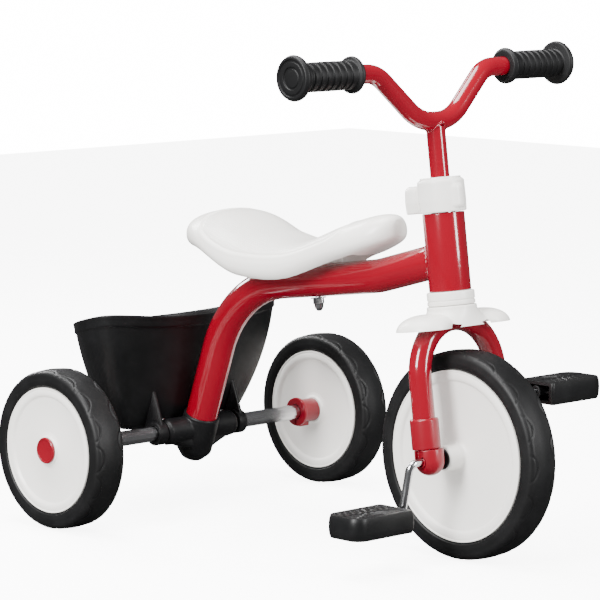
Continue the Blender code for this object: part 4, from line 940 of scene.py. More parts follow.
def make_grips(details):
    inner, outer = 0.1105, 0.2000
    depth = details.rib_depth
    for name, side in SIDES.items():
        outline = [
            (0.0102, inner, 0.0004), (0.0165, inner, 0.0022), (0.0193, inner + 0.0034, 0.0016),
            (0.0188, inner + 0.0068, 0.0020), (0.0150, inner + 0.0080, 0.0010),
        ]
        start = inner + 0.0092
        end = outer - 0.0092
        pitch = (end - start) / 8
        for rib in range(8):
            place = start + rib * pitch
            swell = 0.0004 * math.sin(math.pi * (rib + 0.5) / 8)
            radius = 0.0148 + swell
            outline += [
                (radius, place + 0.10 * pitch, 0.0008), (radius, place + 0.66 * pitch, 0.0008),
                (radius - depth, place + 0.74 * pitch, 0.0005),
                (radius - depth, place + 0.98 * pitch, 0.0005),
            ]
        outline += [
            (0.0150, outer - 0.0082, 0.0010), (0.0228, outer - 0.0074, 0.0022),
            (0.0235, outer - 0.0038, 0.0022), (0.0216, outer, 0.0020), (0.0190, outer, 0.0006),
            (0.0183, outer - 0.0012, 0.0004), (0.0170, outer - 0.0012, 0.0004),
            (0.0162, outer - 0.0002, 0.0006), (0.0118, outer - 0.0002, 0.0006),
            (0.0110, outer - 0.0014, 0.0004), (0.0100, outer - 0.0014, 0.0004),
            (0.0092, outer - 0.0006, 0.0006), (0, outer - 0.0004), (0, outer - 0.0028),
            (0.0102, outer - 0.0030),
        ]
        made = turned(rounded(outline, 4), on_steering(0, 0, BAR_HIGH), side * ACROSS, 96)
        piece("soft_grip_" + name, made, "grip_rubber", "steering", ["grip_" + name])


# ---- Wheels


def tyre_shape(radius, seat, centre, details):
    """A solid tyre with round shoulders, and a row of bowed grooves on each shoulder."""
    half = TYRE_HALF_WIDTH
    corners = [
        (seat, half - 0.0028, 0.0012), (seat + 0.0022, half - 0.0004, 0.0020),
        (seat + 0.0070, half, 0.0080), (radius - 0.0015, half - 0.0010, 0.0088), (radius, 0.0, 0.060),
        (radius - 0.0015, 0.0010 - half, 0.0088), (seat + 0.0070, -half, 0.0080),
        (seat + 0.0022, 0.0004 - half, 0.0020), (seat, 0.0028 - half, 0.0012),
    ]
    rough = rounded(corners, 12)
    outline = [rough[0]]
    for point in rough[1:]:
        last = Vector(outline[-1])
        gap = (Vector(point) - last).length
        if gap < 2e-5:
            continue
        # The part that shows is cut finely enough to carry the grooves.
        count = max(1, math.ceil(gap / 0.00075)) if point[0] >= seat + 0.003 else 1
        outline += [tuple(last.lerp(Vector(point), part / count)) for part in range(1, count + 1)]
    grooves = details.tread_grooves

    def groove(size, away, turn):
        if not grooves or size < seat + 0.006:
            return size, away
        spacing = 2 * math.pi / grooves
        phase = 0.5 * spacing if away < 0 else 0.0
        place = (turn + phase) % spacing - spacing / 2
        reach = 0.0150 / radius
        along = place / reach
        if abs(along) > 1.25:
            return size, away
        # Each groove bows from the shoulder towards the middle of the tread and back.
        shoulder = abs(away) + 0.9 * max(radius - 0.004 - size, 0.0)
        arc_place = 0.0188 - 0.0082 * (1 - along * along)
        line = bump(shoulder - arc_place, 0.0010) * (1 - smooth_step(abs(along), 0.90, 1.06))
        return size - details.tread_depth * line, away

    return turned(outline, centre, ACROSS, 480, groove)


def wheel_half(disc, bore, boss, reach, centre, side, dish):
    """One moulded half of a wheel: hub boss, dish, a crease, and a slightly crowned band at its rim."""
    step = dish * disc
    deep = WHEEL_FACE - 0.0035
    foot = boss + 0.0035
    outline = [
        (bore, 0.0002), (bore, reach, 0.0004),
        (boss, reach, min(0.0030, 0.4 * (boss - bore))),
        (boss + 0.0008, deep + 0.0012, 0.0030), (foot + 0.001, deep - 0.0001, 0.0030),
    ]
    for share in (0.16, 0.32, 0.48, 0.64, 0.80, 0.92):
        radius = foot + share * (step - foot)
        outline.append((radius, deep - 0.0012 * math.sin(math.pi * share) + 0.0004 * share**3, 0.004))
    outline += [
        (step, deep + 0.0004, 0.0010), (step + 0.0022, WHEEL_FACE - 0.0009, 0.0014),
    ]
    band = disc - step
    for share in (0.35, 0.55, 0.75):
        radius = step + share * band
        crown = 0.0009 * math.sin(math.pi * share)
        outline.append((radius, WHEEL_FACE - 0.0011 + crown, 0.003))
    outline += [
        (disc - 0.0020, WHEEL_FACE - 0.0010, 0.0003), (disc - 0.0016, WHEEL_FACE - 0.0002, 0.0005),
        (disc - 0.0001, WHEEL_FACE - 0.0002, 0.0006), (disc, 0.0002), (disc - 0.0026, 0.0002),
        (step - 0.0026, deep - 0.0026), (bore + 0.0026, deep - 0.0030), (bore + 0.0026, 0.0002),
    ]
    return turned(rounded(outline, 5), centre, side * ACROSS, 160)


def make_front_wheel(details):
    tyre = tyre_shape(FRONT_TYRE_RADIUS, FRONT_DISC_RADIUS + 0.0003, FRONT_AXLE, details)
    piece("tread_front", tyre, "tyre_rubber", "front_wheel", ["front_tyre"])
    for name, side in SIDES.items():
        made = wheel_half(FRONT_DISC_RADIUS, 0.0044, 0.0130, 0.0371, FRONT_AXLE, side, 0.865)
        piece("front_disc_" + name, made, "white_plastic", "front_wheel", ["front_wheel_shell_" + name])


def make_rear_wheels(details):
    for name, side in SIDES.items():
        centre = REAR_AXLE + side * REAR_HALF_TRACK * ACROSS
        body = "rear_wheel_" + name
        tyre = tyre_shape(REAR_TYRE_RADIUS, REAR_DISC_RADIUS + 0.0003, centre, details)
        piece("tread_rear_" + name, tyre, "tyre_rubber", body, ["rear_tyre_" + name])
        for half, facing in (("outer", side), ("inner", -side)):
            made = wheel_half(REAR_DISC_RADIUS, 0.0090, 0.0152, WHEEL_FACE, centre, facing, 0.84)
            node_name = "rear_wheel_" + half + "_shell_" + name
            piece("rear_disc_" + half + "_" + name, made, "white_plastic", body, [node_name])
        start = WHEEL_FACE + 0.0005
        cap = rounded([
            (0, start - 0.012), (0.0067, start - 0.012), (0.0067, start), (0.0144, start, 0.0004),
            (0.0144, start + 0.0018, 0.0008), (0.0134, start + 0.0028, 0.0006),
            (0.0124, start + 0.0028, 0.0004), (0.0118, start + 0.0019, 0.0003),
            (0.0090, start + 0.0016, 0.0030), (0, start + 0.0012),
        ])
        made = turned(cap, centre, side * ACROSS, 80)
        piece("axle_cap_" + name, made, "red_plastic", "frame", ["hub_cap_" + name])
        piece(
            "axle_stop_" + name, stop_bush(centre, side, start), "red_plastic", "frame",
            ["stop_bush_" + name], 50,
        )


def stop_bush(centre, side, start):
    """A split bush with a flange at its inner end and a lug that hangs below it."""
    outline = rounded([
        (0.0088, start, 0.0003), (0.0134, start, 0.0010), (0.0134, start + 0.0222, 0.0008),
        (0.0165, start + 0.0232, 0.0010), (0.0165, start + 0.0270, 0.0012),
        (0.0088, start + 0.0270, 0.0003),
    ])
    sleeve = turned(outline, centre, -side * ACROSS, 80)
    inward = -side * ACROSS
    lug = slab(
        centre + (start + 0.016) * inward - Vector((0, 0, 0.0145)), (0.0080, 0.0150, 0.0060), None, 0.0015
    )
    split = slab(
        centre + (start + 0.026) * inward - Vector((0, 0, 0.014)), (0.0030, 0.012, 0.012), None, 0.0004
    )
    bore = rod(centre + 0.01 * inward, centre + 0.06 * inward, 0.0088, 0, 64)
    return carved(sleeve, [split, bore], [lug])


# ---- Crank and pedals


def make_crank():
    outer = PEDAL_INNER + PEDAL_LENGTH - 0.012
    corners = [
        pedal_axis(-1) - outer * ACROSS,
        pedal_axis(-1) - CRANK_PLANE * ACROSS,
        FRONT_AXLE - CRANK_PLANE * ACROSS,
        FRONT_AXLE + CRANK_PLANE * ACROSS,
        pedal_axis(1) + CRANK_PLANE * ACROSS,
        pedal_axis(1) + outer * ACROSS,
    ]
    route = bent_route(corners, [0.005, 0.009, 0.009, 0.005], math.radians(6))
    plane = (pedal_axis(1) - FRONT_AXLE).cross(ACROSS).normalized()
    made = swept(route, CRANK_RADIUS, 40, plane, soft_end=0.0008)
    piece("bent_crank", made, "steel", "front_wheel", ["crank"])


def pedal_block(axis, side, details):
    """A pillowed block with a round outer end and a raised lattice of bars on its treads."""
    half, corner = 0.025, 0.014
    outline = []

    def run(start, end, count):
        for step in range(count):
            outline.append(Vector(start).lerp(Vector(end), step / count))

    def bend(middle, start, size):
        for step in range(14):
            angle = math.radians(start + 90 * step / 14)
            outline.append(Vector((middle[0] + size * math.cos(angle), middle[1] + size * math.sin(angle))))

    soft = 0.003
    run((-half + soft, 0), (half - soft, 0), 26)
    bend((half - soft, soft), -90, soft)
    run((half, soft), (half, PEDAL_LENGTH - corner), 44)
    bend((half - corner, PEDAL_LENGTH - corner), 0, corner)
    run((half - corner, PEDAL_LENGTH), (-half + corner, PEDAL_LENGTH), 14)
    bend((-half + corner, PEDAL_LENGTH - corner), 90, corner)
    run((-half, PEDAL_LENGTH - corner), (-half, soft), 44)
    bend((-half + soft, soft), 180, soft)
    middle = Vector((0, PEDAL_LENGTH / 2))

    def relief(spot):
        # Slanting bars inside a plain border, the two halves leaning opposite ways.
        inside = min(half - abs(spot.x), spot.y, PEDAL_LENGTH - spot.y)
        if abs(spot.x) > half - corner and spot.y > PEDAL_LENGTH - corner:
            inside = min(
                inside, corner - math.hypot(abs(spot.x) - half + corner, spot.y - PEDAL_LENGTH + corner)
            )
        field = smooth_step(inside, 0.0055, 0.0070)
        wave = math.cos(2 * math.pi * (spot.y + 0.55 * abs(spot.x)) / 0.0085)
        bars = smooth_step(wave, -0.15, 0.45)
        spine = smooth_step(abs(spot.x), 0.0016, 0.0026)
        return details.pedal_relief * (1 - field * (1 - bars * spine))

    tall = 0.01225 - details.pedal_relief
    sides = [(0.972, 0.86), (0.985, 0.70), (0.995, 0.45), (1.0, 0.2), (1.0, -0.2), (0.995, -0.45), (
        0.985, -0.70
    ),
             (0.972, -0.86)]
    loops = []
    rings = 34
    for index in range(rings):
        share = 0.02 + 0.935 * index / (rings - 1)
        loops.append((share, 1.0 - 0.075 * share**7, 1))
    body = loops + [(share, height, 0) for share, height in sides] + [
        (s, -h, -1) for s, h, _ in reversed(loops)
    ]
    made = []
    for share, height, tread in body:
        ring = []
        for corner_spot in outline:
            spot = middle + share * (corner_spot - middle)
            lift = tread * relief(spot) if tread else 0.0
            ring.append(axis + Vector((spot.x, side * (PEDAL_INNER + spot.y), height * tall + lift)))
        made.append(ring)
    return lofted(made)


def make_pedals(details):
    for name, side in SIDES.items():
        axis = pedal_axis(side)
        block = pedal_block(axis, side, details)
        out = side * ACROSS
        mouth = PEDAL_INNER - 0.004
        deep = PEDAL_LENGTH - 0.012
        pocket = slab(axis + (mouth + deep / 2) * out, (0.0394, deep, 0.0170), None, 0.0016)
        hub = turned(
            rounded([(0, 0.0006), (0.0070, 0.0006, 0.0008), (0.0070, 0.0760), (0, 0.0760)]),
            axis + PEDAL_INNER * out, out, 56,
        )
        web_at = axis + (PEDAL_INNER + 0.042) * out
        webs = [slab(web_at, size) for size in ((0.0400, 0.068, 0.0022), (0.0022, 0.068, 0.0176))]
        bore = rod(axis + (PEDAL_INNER - 0.01) * out, axis + (PEDAL_INNER + 0.0720) * out, 0.0045, 0, 56)
        hollow = carved(block, [pocket])
        made = carved(carved(hollow, [], [hub, *webs]), [bore])
        piece("tread_block_" + name, made, "black_plastic", name + "_pedal", ["pedal_" + name], 35)


# ---- Bracket, basket and seat


SCREW_WAY = Vector((-math.sin(math.radians(40)), 0, math.cos(math.radians(40))))
SCREW_PLACE = 0.044


def make_bracket():
    top = down_tube_point(0.1037)
    outer = 0.0207
    depth = (0.1037 - 0.052) / math.cos(DOWN_TUBE_LEAN)
    cup = rounded([
        (0, -depth), (0.0115, -depth + 0.0006, 0.006), (outer - 0.0002, -depth + 0.0120, 0.008),
        (outer, -0.0042, 0.0006), (outer - 0.0006, -0.0032, 0.0004), (outer, -0.0024, 0.0006),
        (outer, 0, 0.0012), (0, 0),
    ], 8)
    half = (SLEEVE_HALF - 0.0004) * ACROSS
    sleeve = rounded([
        (0, 0), (0.0128, 0, 0.0010), (0.0128, 0.0024, 0.0004), (SLEEVE_RADIUS, 0.0030, 0.0014),
        (SLEEVE_RADIUS, 0.1002, 0.0014), (0.0128, 0.1008, 0.0004), (0.0128, 0.1032, 0.0010),
        (0, 0.1032),
    ])
    shapes = [turned(cup, top, DOWN_TUBE_WAY, 110), turned(sleeve, REAR_AXLE - half, ACROSS, 96)]
    for side in SIDES.values():
        # A low boss under each screw, and a web down to the keel.
        seat = REAR_AXLE + side * SCREW_PLACE * ACROSS
        shapes.append(rod(seat, seat + 0.0143 * SCREW_WAY, 0.0056, 0.0010, 48))
        shapes.append(bracket_web(side))
    body = moulded(shapes, 0.0008, 6)
    piece("axle_bracket", body, "black_plastic", "frame", ["rear_bracket"], 50)
    for name, side in SIDES.items():
        route = []
        for step in range(40):
            share = step / 39
            turn = math.radians(-90 + 24 * math.sin(math.pi * share))
            place = REAR_AXLE + side * (0.0215 + 0.0265 * share) * ACROSS
            route.append(place + 0.0144 * Vector((math.cos(turn), 0, math.sin(turn))))
        piece("bracket_seam_" + name, swept(route, 0.0006, 12, soft_end=0.0005), "black_plastic", "frame")
    for name, side in SIDES.items():
        start = REAR_AXLE + side * SCREW_PLACE * ACROSS + 0.0142 * SCREW_WAY
        head = rounded([
            (0, 0), (0.0040, 0, 0.0002), (0.0040, 0.0010, 0.0004), (0.0028, 0.0024, 0.0010), (0, 0.0027),
        ])
        way, one, two = basis(SCREW_WAY)
        turn = Matrix((one, two, way)).transposed()
        sizes = ((0.0038, 0.0009, 0.0028), (0.0009, 0.0038, 0.0028))
        cross = [slab(start + 0.0030 * SCREW_WAY, size, turn) for size in sizes]
        made = carved(turned(head, start, SCREW_WAY, 48), cross)
        piece("bracket_screw_head_" + name, made, "steel", "frame", ["bracket_screw_" + name])


def bracket_web(side):
    """The sloping web that joins a sleeve to the keel below the cup."""
    loops = []
    for share in (0.0, 0.25, 0.5, 0.75, 1.0):
        across = side * (0.008 + 0.040 * share)
        low = -0.0290 + 0.0175 * share**0.8
        wide = 0.0130 - 0.0045 * share
        loop = []
        for step in range(24):
            turn = 2 * math.pi * step / 24
            rise = -0.004 + (low + 0.004) * (0.5 - 0.5 * power(math.sin(turn), 0.7))
            loop.append(REAR_AXLE + Vector((-0.001 + wide * power(math.cos(turn), 0.7), across, rise)))
        loops.append(loop)
    return lofted(loops)


BASKET_WALL = 0.0025
BASKET_FLOOR_Z = 0.0895
BASKET_RIM_Z = 0.2185
BASKET_RING_PLACE = 0.060


def basket_loop(level, inset, height=None, count=176):
    """A loop round the basket at a share of its height, 0 at the floor and 1 at the rim."""
    bulge = 4 * level * (1 - level)

    def between(floor, top):
        return floor + level * (top - floor)

    half_width = between(0.0840, 0.1320) + bulge * 0.009 - inset
    front = between(-0.0185, 0.0120) + bulge * 0.005
    widest = front - between(0.022, 0.046)
    back = between(-0.0930, -0.1180)
    loop = []
    for step in range(count):
        angle = 2 * math.pi * step / count
        cosine, sine = math.cos(angle), math.sin(angle)
        squareness = 2.1 + 1.5 * smooth_step(cosine, -0.08, 0.08)
        ahead = abs(cosine) ** (2 / squareness)
        across = half_width * power(sine, 2 / squareness)
        if cosine > 0:
            place = widest + (front - inset - widest) * ahead
        else:
            place = widest - (widest - back - inset) * ahead
        backward = (front - place) / (front - back)
        rise = 0.0135 * (across / half_width) ** 2 * (1 - backward)
        rim = BASKET_RIM_Z + rise - 0.0185 * backward
        up = between(BASKET_FLOOR_Z, rim) if height is None else height
        loop.append(from_axle(place, across, up))
    return [clear_of_bracket(spot) for spot in loop]


def clear_of_bracket(spot):
    """Moves a point of the basket back where the bracket's cup or a sleeve would touch it."""
    axis_spot = down_tube_point(spot.z)
    reach = 0.0222
    if spot.z < 0.106 and abs(spot.y) < reach:
        limit = axis_spot.x - math.sqrt(reach**2 - spot.y**2) / math.cos(DOWN_TUBE_LEAN)
        if spot.x > limit:
            spot = Vector((limit, spot.y, spot.z))
    return spot


def make_basket():
    rim_share = 0.0115 / (BASKET_RIM_Z - BASKET_FLOOR_Z)
    band = 1 - rim_share
    levels = [(0, 0.0075), (0.006, 0.0042), (0.018, 0.0016), (0.036, 0.0003)]
    levels += [(0.05 + (band - 0.03 - 0.05) * step / 24, 0) for step in range(25)]
    # The band stands out below the rim on a soft step, with a bright lower edge.
    levels += [
        (band - 0.018, 0), (band - 0.010, -0.0003), (band - 0.005, -0.0009), (band, -0.0013), (
            band + 0.006, -0.0014
        ),
        (band + 0.35 * rim_share, -0.0010), (band + 0.7 * rim_share, -0.0011), (1 - 0.010, -0.0013),
        (1 - 0.004, -0.0010), (1, -0.0002),
    ]
    outside = [basket_loop(level, inset) for level, inset in levels]
    inside = [
        basket_loop(level, inset) for level, inset in ((1, 0.0014), (0.996, 0.0022), (0.985, BASKET_WALL))
    ]
    inside += [basket_loop(0.97 - 0.90 * step / 20, BASKET_WALL) for step in range(1, 21)]
    floor = BASKET_FLOOR_Z + BASKET_WALL
    inside += [basket_loop(0.045, BASKET_WALL + 0.0008), basket_loop(0.030, BASKET_WALL + 0.003),
               basket_loop(0.020, BASKET_WALL + 0.007, floor)]
    piece("toy_basket", lofted(outside + inside), "black_plastic", "frame", ["basket"], 50)
    for name, side in SIDES.items():
        ring_at = REAR_AXLE + side * BASKET_RING_PLACE * ACROSS
        outline = rounded([
            (0.0088, -0.006, 0.0003), (0.0135, -0.006, 0.0010), (0.0135, 0.006, 0.0010), (
                0.0088, 0.006, 0.0003
            ),
        ])
        piece(
            "basket_ring_" + name, turned(outline, ring_at, ACROSS, 72), "black_plastic", "frame",
            ["basket"],
        )
        piece("basket_fin_" + name, fin(side), "black_plastic", "frame", ["basket"], 50)


def fin(side):
    """An upright web with rounded edges, from the axle ring up the front of the basket."""
    across = side * BASKET_RING_PLACE
    corners = [
        (0.0095, 0.0877, 0.002), (0.0085, 0.0985, 0.004), (-0.0070, 0.1400, 0.0022), (-0.0130, 0.1385, 0.001),
        (-0.0215, 0.0925, 0.001), (-0.0100, 0.0845, 0.002),
    ]
    outline = rounded(corners, 6)
    middle = Vector((sum(x for x, z in outline) / len(outline), sum(z for x, z in outline) / len(outline)))
    loops = []
    for away, inset in ((-0.0020, 0.0009), (-0.0017, 0.0003), (-0.0012, 0), (0.0012, 0), (0.0017, 0.0003),
                        (0.0020, 0.0009)):
        loop = []
        for x, z in outline:
            spot = Vector((x, z))
            spot += (middle - spot).normalized() * inset
            loop.append(from_axle(spot.x, across + away, spot.y))
        loops.append(loop)
    return lofted(loops)


SEAT_HALF_WIDTHS = (0.068, 0.076, 0.066, 0.054, 0.045, 0.056)
SEAT_TOPS = (0.336, 0.343, 0.3236, 0.3175, 0.3425, 0.3630)
SEAT_CROWNS = (0.002, 0.008, 0.002, 0.014)
SEAT_THICKNESSES = (0.048, 0.053, 0.045, 0.047)
SEAT_LONG = 0.3130
# The border of the textured panel: a share of the seat's length, and of its half width there.
PANEL_BORDER = (
    (0.180, 0.0), (0.182, 0.35), (0.188, 0.70), (0.213, 0.918), (0.262, 0.958), (0.334, 0.951), (
        0.426, 0.932
    ),
    (0.525, 0.910), (0.620, 0.896), (0.715, 0.905), (0.787, 0.867), (0.803, 0.55), (0.806, 0.25), (
        0.807, 0.0
    ),
)


def seat_sizes(share):
    end = (1 - abs(2 * share - 1) ** 2.2) ** (1 / 2.2)
    half = along_list(SEAT_THICKNESSES, share) / 2
    middle = along_list(SEAT_TOPS, share) - half
    crown = along_list(SEAT_CROWNS, share) * end
    half_width = along_list(SEAT_HALF_WIDTHS, share) * end
    return 0.006 + share * SEAT_LONG, half_width, middle, half * math.sqrt(end), crown


def seat_spot(share, angle):
    x, half_width, middle, half_height, crown = seat_sizes(share)
    # Below its middle, the nose is rounder than the rest.
    round_nose = smooth_step(share, 0.55, 0.85) if math.sin(angle) < 0 else 0.0
    across = power(math.cos(angle), 0.75 + 0.20 * round_nose)
    rise = power(math.sin(angle), 0.85 + 0.15 * round_nose)
    return from_axle(x, half_width * across, middle + half_height * rise - crown * across**2)


def panel_border_points():
    """The border on the seat's skin, all the way round, with its corners smoothed."""
    way = [(share, across) for share, across in PANEL_BORDER]
    way += [(share, -across) for share, across in reversed(PANEL_BORDER[1:-1])]
    for _ in range(4):
        cut = []
        for index, (share, across) in enumerate(way):
            after = way[(index + 1) % len(way)]
            for part in (0.25, 0.75):
                cut.append((share + part * (after[0] - share), across + part * (after[1] - across)))
        way = cut
    return way


def make_seat(details):
    import numpy as np

    border = panel_border_points()
    spots = np.array(
        [tuple(seat_spot(share, math.acos(power(across, 1 / 0.75)))) for share, across in border]
    )
    ends = np.roll(spots, -1, axis=0)
    outline = np.array(border)
    outline_ends = np.roll(outline, -1, axis=0)

    def from_border(points, shares, acrosses):
        """How far each point is from the border, positive inside the panel."""
        best = np.full(len(points), 1.0)
        inside = np.zeros(len(points), bool)
        for index in range(len(spots)):
            way = ends[index] - spots[index]
            along = np.clip(((points - spots[index]) @ way) / (way @ way), 0, 1)
            best = np.minimum(best, np.linalg.norm(points - spots[index] - along[:, None] * way, axis=1))
            (x0, y0), (x1, y1) = outline[index], outline_ends[index]
            if x0 != x1:
                crosses = (shares >= min(x0, x1)) & (shares < max(x0, x1))
                level = y0 + (shares - x0) * (y1 - y0) / (x1 - x0)
                inside ^= crosses & (acrosses < level)
        return np.where(inside, best, -best)

    rows, around = 330, 360
    shares = [(1 - math.cos(math.pi * (row + 0.6) / (rows + 0.2))) / 2 for row in range(rows)]
    shares = [0.35 * share + 0.65 * (0.004 + 0.992 * row / (rows - 1)) for row, share in enumerate(shares)]
    places = []
    for share in shares:
        for step in range(around):
            places.append((share, 2 * math.pi * (step + 0.5) / around))
    points = np.array([tuple(seat_spot(share, angle)) for share, angle in places])
    share_list = np.array([share for share, angle in places])
    angles = np.array([angle for share, angle in places])
    acrosses = np.sign(np.cos(angles)) * np.abs(np.cos(angles)) ** 0.75
    on_top = np.sin(angles) > 0
    distance = np.where(on_top, from_border(points, share_list, acrosses), -1.0)
    grid = points.reshape(rows, around, 3)
    lengthwise = np.gradient(grid, axis=0)
    crosswise = (np.roll(grid, -1, axis=1) - np.roll(grid, 1, axis=1)) / 2
    normals = np.cross(crosswise, lengthwise).reshape(-1, 3)
    normals /= np.maximum(np.linalg.norm(normals, axis=1), 1e-12)[:, None]
    middle = np.repeat(grid.mean(axis=1), around, axis=0)
    normals *= np.sign(np.sum(normals * (points - middle), axis=1))[:, None]
    # The crease, then a slim lip outside it, and the panel very slightly sunk.
    crease = -details.seat_crease * np.exp(-((distance / 0.0013) ** 2))
    lip = 0.00055 * np.exp(-(((distance + 0.0042) / 0.0022) ** 2))
    sunk = -0.00025 * np.clip(distance / 0.003, 0, 1)
    points = points + normals * (crease + lip + sunk)[:, None]
    # The hollow underneath, open downwards inside a lip.
    for index, (share, angle) in enumerate(places):
        if math.sin(angle) >= 0:
            continue
        _, half_width, middle_height, half_height, crown = seat_sizes(share)
        across = power(math.cos(angle), 0.75)
        reach = 1 - 0.0075 / max(half_width, 0.008)
        if reach <= 0 or abs(across) >= reach:
            continue
        rise = (1 - min(abs(across), 1.0) ** (2 / 0.75)) ** 0.425
        ceiling = middle_height + half_height * rise - crown * across**2 - 0.0035
        depth = smooth_step(share, 0.055, 0.105) * (1 - smooth_step(share, 0.80, 0.86))
        depth *= smooth_step((reach - abs(across)) * half_width, 0.0, 0.0035)
        bottom = points[index, 2]
        points[index, 2] = bottom + depth * max(ceiling - bottom, 0.0)
    loops = [[Vector(point) for point in row] for row in points.reshape(rows, around, 3)]
    made = piece("moulded_seat", lofted(loops), "seat_plastic", "frame", ["seat"], 60)
    values = np.clip((distance - 0.0012) / 0.0010, 0, 1)
    attribute = made.data.attributes.new("panel", "FLOAT", "POINT")
    filled = np.zeros(len(made.data.vertices), dtype=np.float32)
    # The loft's two end points come last, and lie outside the panel.
    filled[: len(values)] = values
    attribute.data.foreach_set("value", filled)


def make_seat_fixings():
    place = SEAT_BOLT_PLACE
    roof = (0.3236 - 0.2725 - 0.0060) / math.cos(SEAT_SLOPE)
    boss = turned(
        rounded([(0, 0.0176), (0.0150, 0.0176, 0.0008), (0.0150, roof - 0.004), (0, roof - 0.004)]),
        place, SEAT_UP, 72,
    )
    ribs = []
    for turn in (0, 90, 180, 270):
        matrix = Matrix.Rotation(math.radians(turn), 3, "Z")
        out = matrix @ Vector((1, 0, 0))
        ribs.append(slab(place + 0.0280 * out + 0.0290 * SEAT_UP, (0.030, 0.0022, 0.0100), matrix, 0.0006))
    piece("seat_boss", carved(boss, [], ribs), "white_plastic", "frame", ["seat"])
    top = -0.0186
    washer = rounded(
        [(0.0032, top), (0.0085, top, 0.0002), (0.0085, top - 0.0011, 0.0004), (0.0032, top - 0.0011)]
    )
    piece("nut_washer", turned(washer, place, SEAT_UP, 60), "steel", "frame", ["seat_nut"])
    nut = rounded([
        (0, top - 0.0150), (0.0022, top - 0.0148, 0.002), (0.0045, top - 0.0118, 0.004),
        (0.0052, top - 0.0074, 0.0008), (0.0062, top - 0.0066, 0.0004), (0.0062, top - 0.0016, 0.0004),
        (0.0056, top - 0.0011), (0, top - 0.0011),
    ])

    def six_sided(size, away, turn):
        if size < 0.0055:
            return size, away
        flat = 0.0056 / math.cos((turn % (math.pi / 3)) - math.pi / 6)
        return min(size, flat), away

    piece("domed_nut", turned(nut, place, SEAT_UP, 72, six_sided), "steel", "frame", ["seat_nut"])


def finish_hidden_pieces():
    """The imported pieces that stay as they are, mostly inside others, take the same finishes."""
    kept = {
        "rear_axle": "steel", "steerer_tube": "steel", "upper_bearing_bush": "black_plastic",
        "seat_bolt": "steel",
    }
    for name, look in kept.items():
        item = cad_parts[name]
        for slot in item.material_slots:
            slot.material = bpy.data.materials["finished_" + look]


# ---- Studio


LAMPS = {
    "overhead_light": ((-0.2, -0.4, 1.9), (0, 0, 0.2), (1.5, 0.7), 62),
    "key_light": ((0.4, -2.3, 1.5), (0, 0, 0.2), (0.7, 1.3), 135),
    "side_light": ((2.3, 0.7, 1.1), (0.1, 0, 0.2), (0.4, 1.3), 60),
    "back_light": ((-1.9, 0.2, 1.3), (0, 0, 0.2), (0.5, 1.2), 45),
}
FLOOR_REACH = 4.0
FLOOR_CELLS = 24
FLOOR_GLOW = 7.0
FLOOR_IN_BOUNCES = (0.34, 0.34, 0.34, 1.0)
FLOOR_IN_GLOSS = (0.03, 0.03, 0.03, 1.0)
SKY_LIGHT = 1.25
SKY_SEEN = 16.0
SKY_IN_GLOSS = 0.10
CAMERA_LENS = 199.74
CAMERA_PLACE = (2.55520734, -2.48978602, 0.71417885)
CAMERA_RIGHT = (0.69273, 0.72120, 0.0)
CAMERA_UP = (-0.09270, 0.08904, 0.99170)
CAMERA_BACK = (0.71522, -0.68698, 0.12854)


def soft_box(name, place, aim, size, watts):
    lamp = bpy.data.lights.new(name, "AREA")
    lamp.shape = "RECTANGLE"
    lamp.size, lamp.size_y = size
    lamp.energy = watts
    made = placed(name, lamp)
    made.location = place
    made.rotation_euler = (Vector(aim) - Vector(place)).to_track_quat("-Z", "Y").to_euler()


def make_floor(colours):
    mesh = bmesh.new()
    spread = range(-FLOOR_CELLS, FLOOR_CELLS + 1)
    places = [FLOOR_REACH * step / FLOOR_CELLS for step in spread]
    rows = [[mesh.verts.new((x, y, -0.0002)) for x in places] for y in places]
    for low, high in zip(rows, rows[1:]):
        for step in range(2 * FLOOR_CELLS):
            mesh.faces.new((low[step], low[step + 1], high[step + 1], high[step]))
    data = mesh_data("studio_floor", mesh)
    floor = placed("studio_floor", data)
    look = bpy.data.materials.new("floor_paper")
    look.use_nodes = True
    tree = look.node_tree
    shader = tree.nodes["Principled BSDF"]
    tint = group_node(tree, "Mottled Colour", {"Colour": (*colours.floor, 1.0), "Strength": 0.01})
    grains = group_node(tree, "Moulded Grain")
    tree.links.new(grains.outputs["Mottle"], tint.inputs["Mottle"])
    # The camera sees pale paper; reflections see a darker one, so that gloss stays deep.
    path = node(tree, "LightPath").outputs
    seen = path["Is Camera Ray"]
    paper = node(tree, "Mix", {0: seen, 6: FLOOR_IN_BOUNCES, 7: tint.outputs["Colour"]}, data_type="RGBA")
    shown = node(
        tree, "Mix", {0: path["Is Glossy Ray"], 6: paper.outputs[2], 7: FLOOR_IN_GLOSS}, data_type="RGBA"
    )
    tree.links.new(shown.outputs[2], shader.inputs["Base Color"])
    shader.inputs["Emission Color"].default_value = (1.0, 1.0, 1.0, 1.0)
    tree.links.new(sum_of(tree, "MULTIPLY", seen, FLOOR_GLOW), shader.inputs["Emission Strength"])
    shader.inputs["Roughness"].default_value = 0.8
    shader.inputs["Specular IOR Level"].default_value = 0.1
    data.materials.append(look)


def make_sky():
    world = bpy.data.worlds.new("studio")
    world.use_nodes = True
    sky = world.node_tree
    background = sky.nodes["Background"]
    background.inputs["Color"].default_value = (1.0, 1.0, 1.0, 1.0)
    rays = node(sky, "LightPath").outputs
    level = ranged(sky, rays["Is Camera Ray"], 0.0, 1.0, SKY_LIGHT, SKY_SEEN)
    dimmed = ranged(sky, rays["Is Glossy Ray"], 0.0, 1.0, 1.0, SKY_IN_GLOSS)
    sky.links.new(sum_of(sky, "MULTIPLY", level, dimmed), background.inputs["Strength"])
    bpy.context.scene.world = world


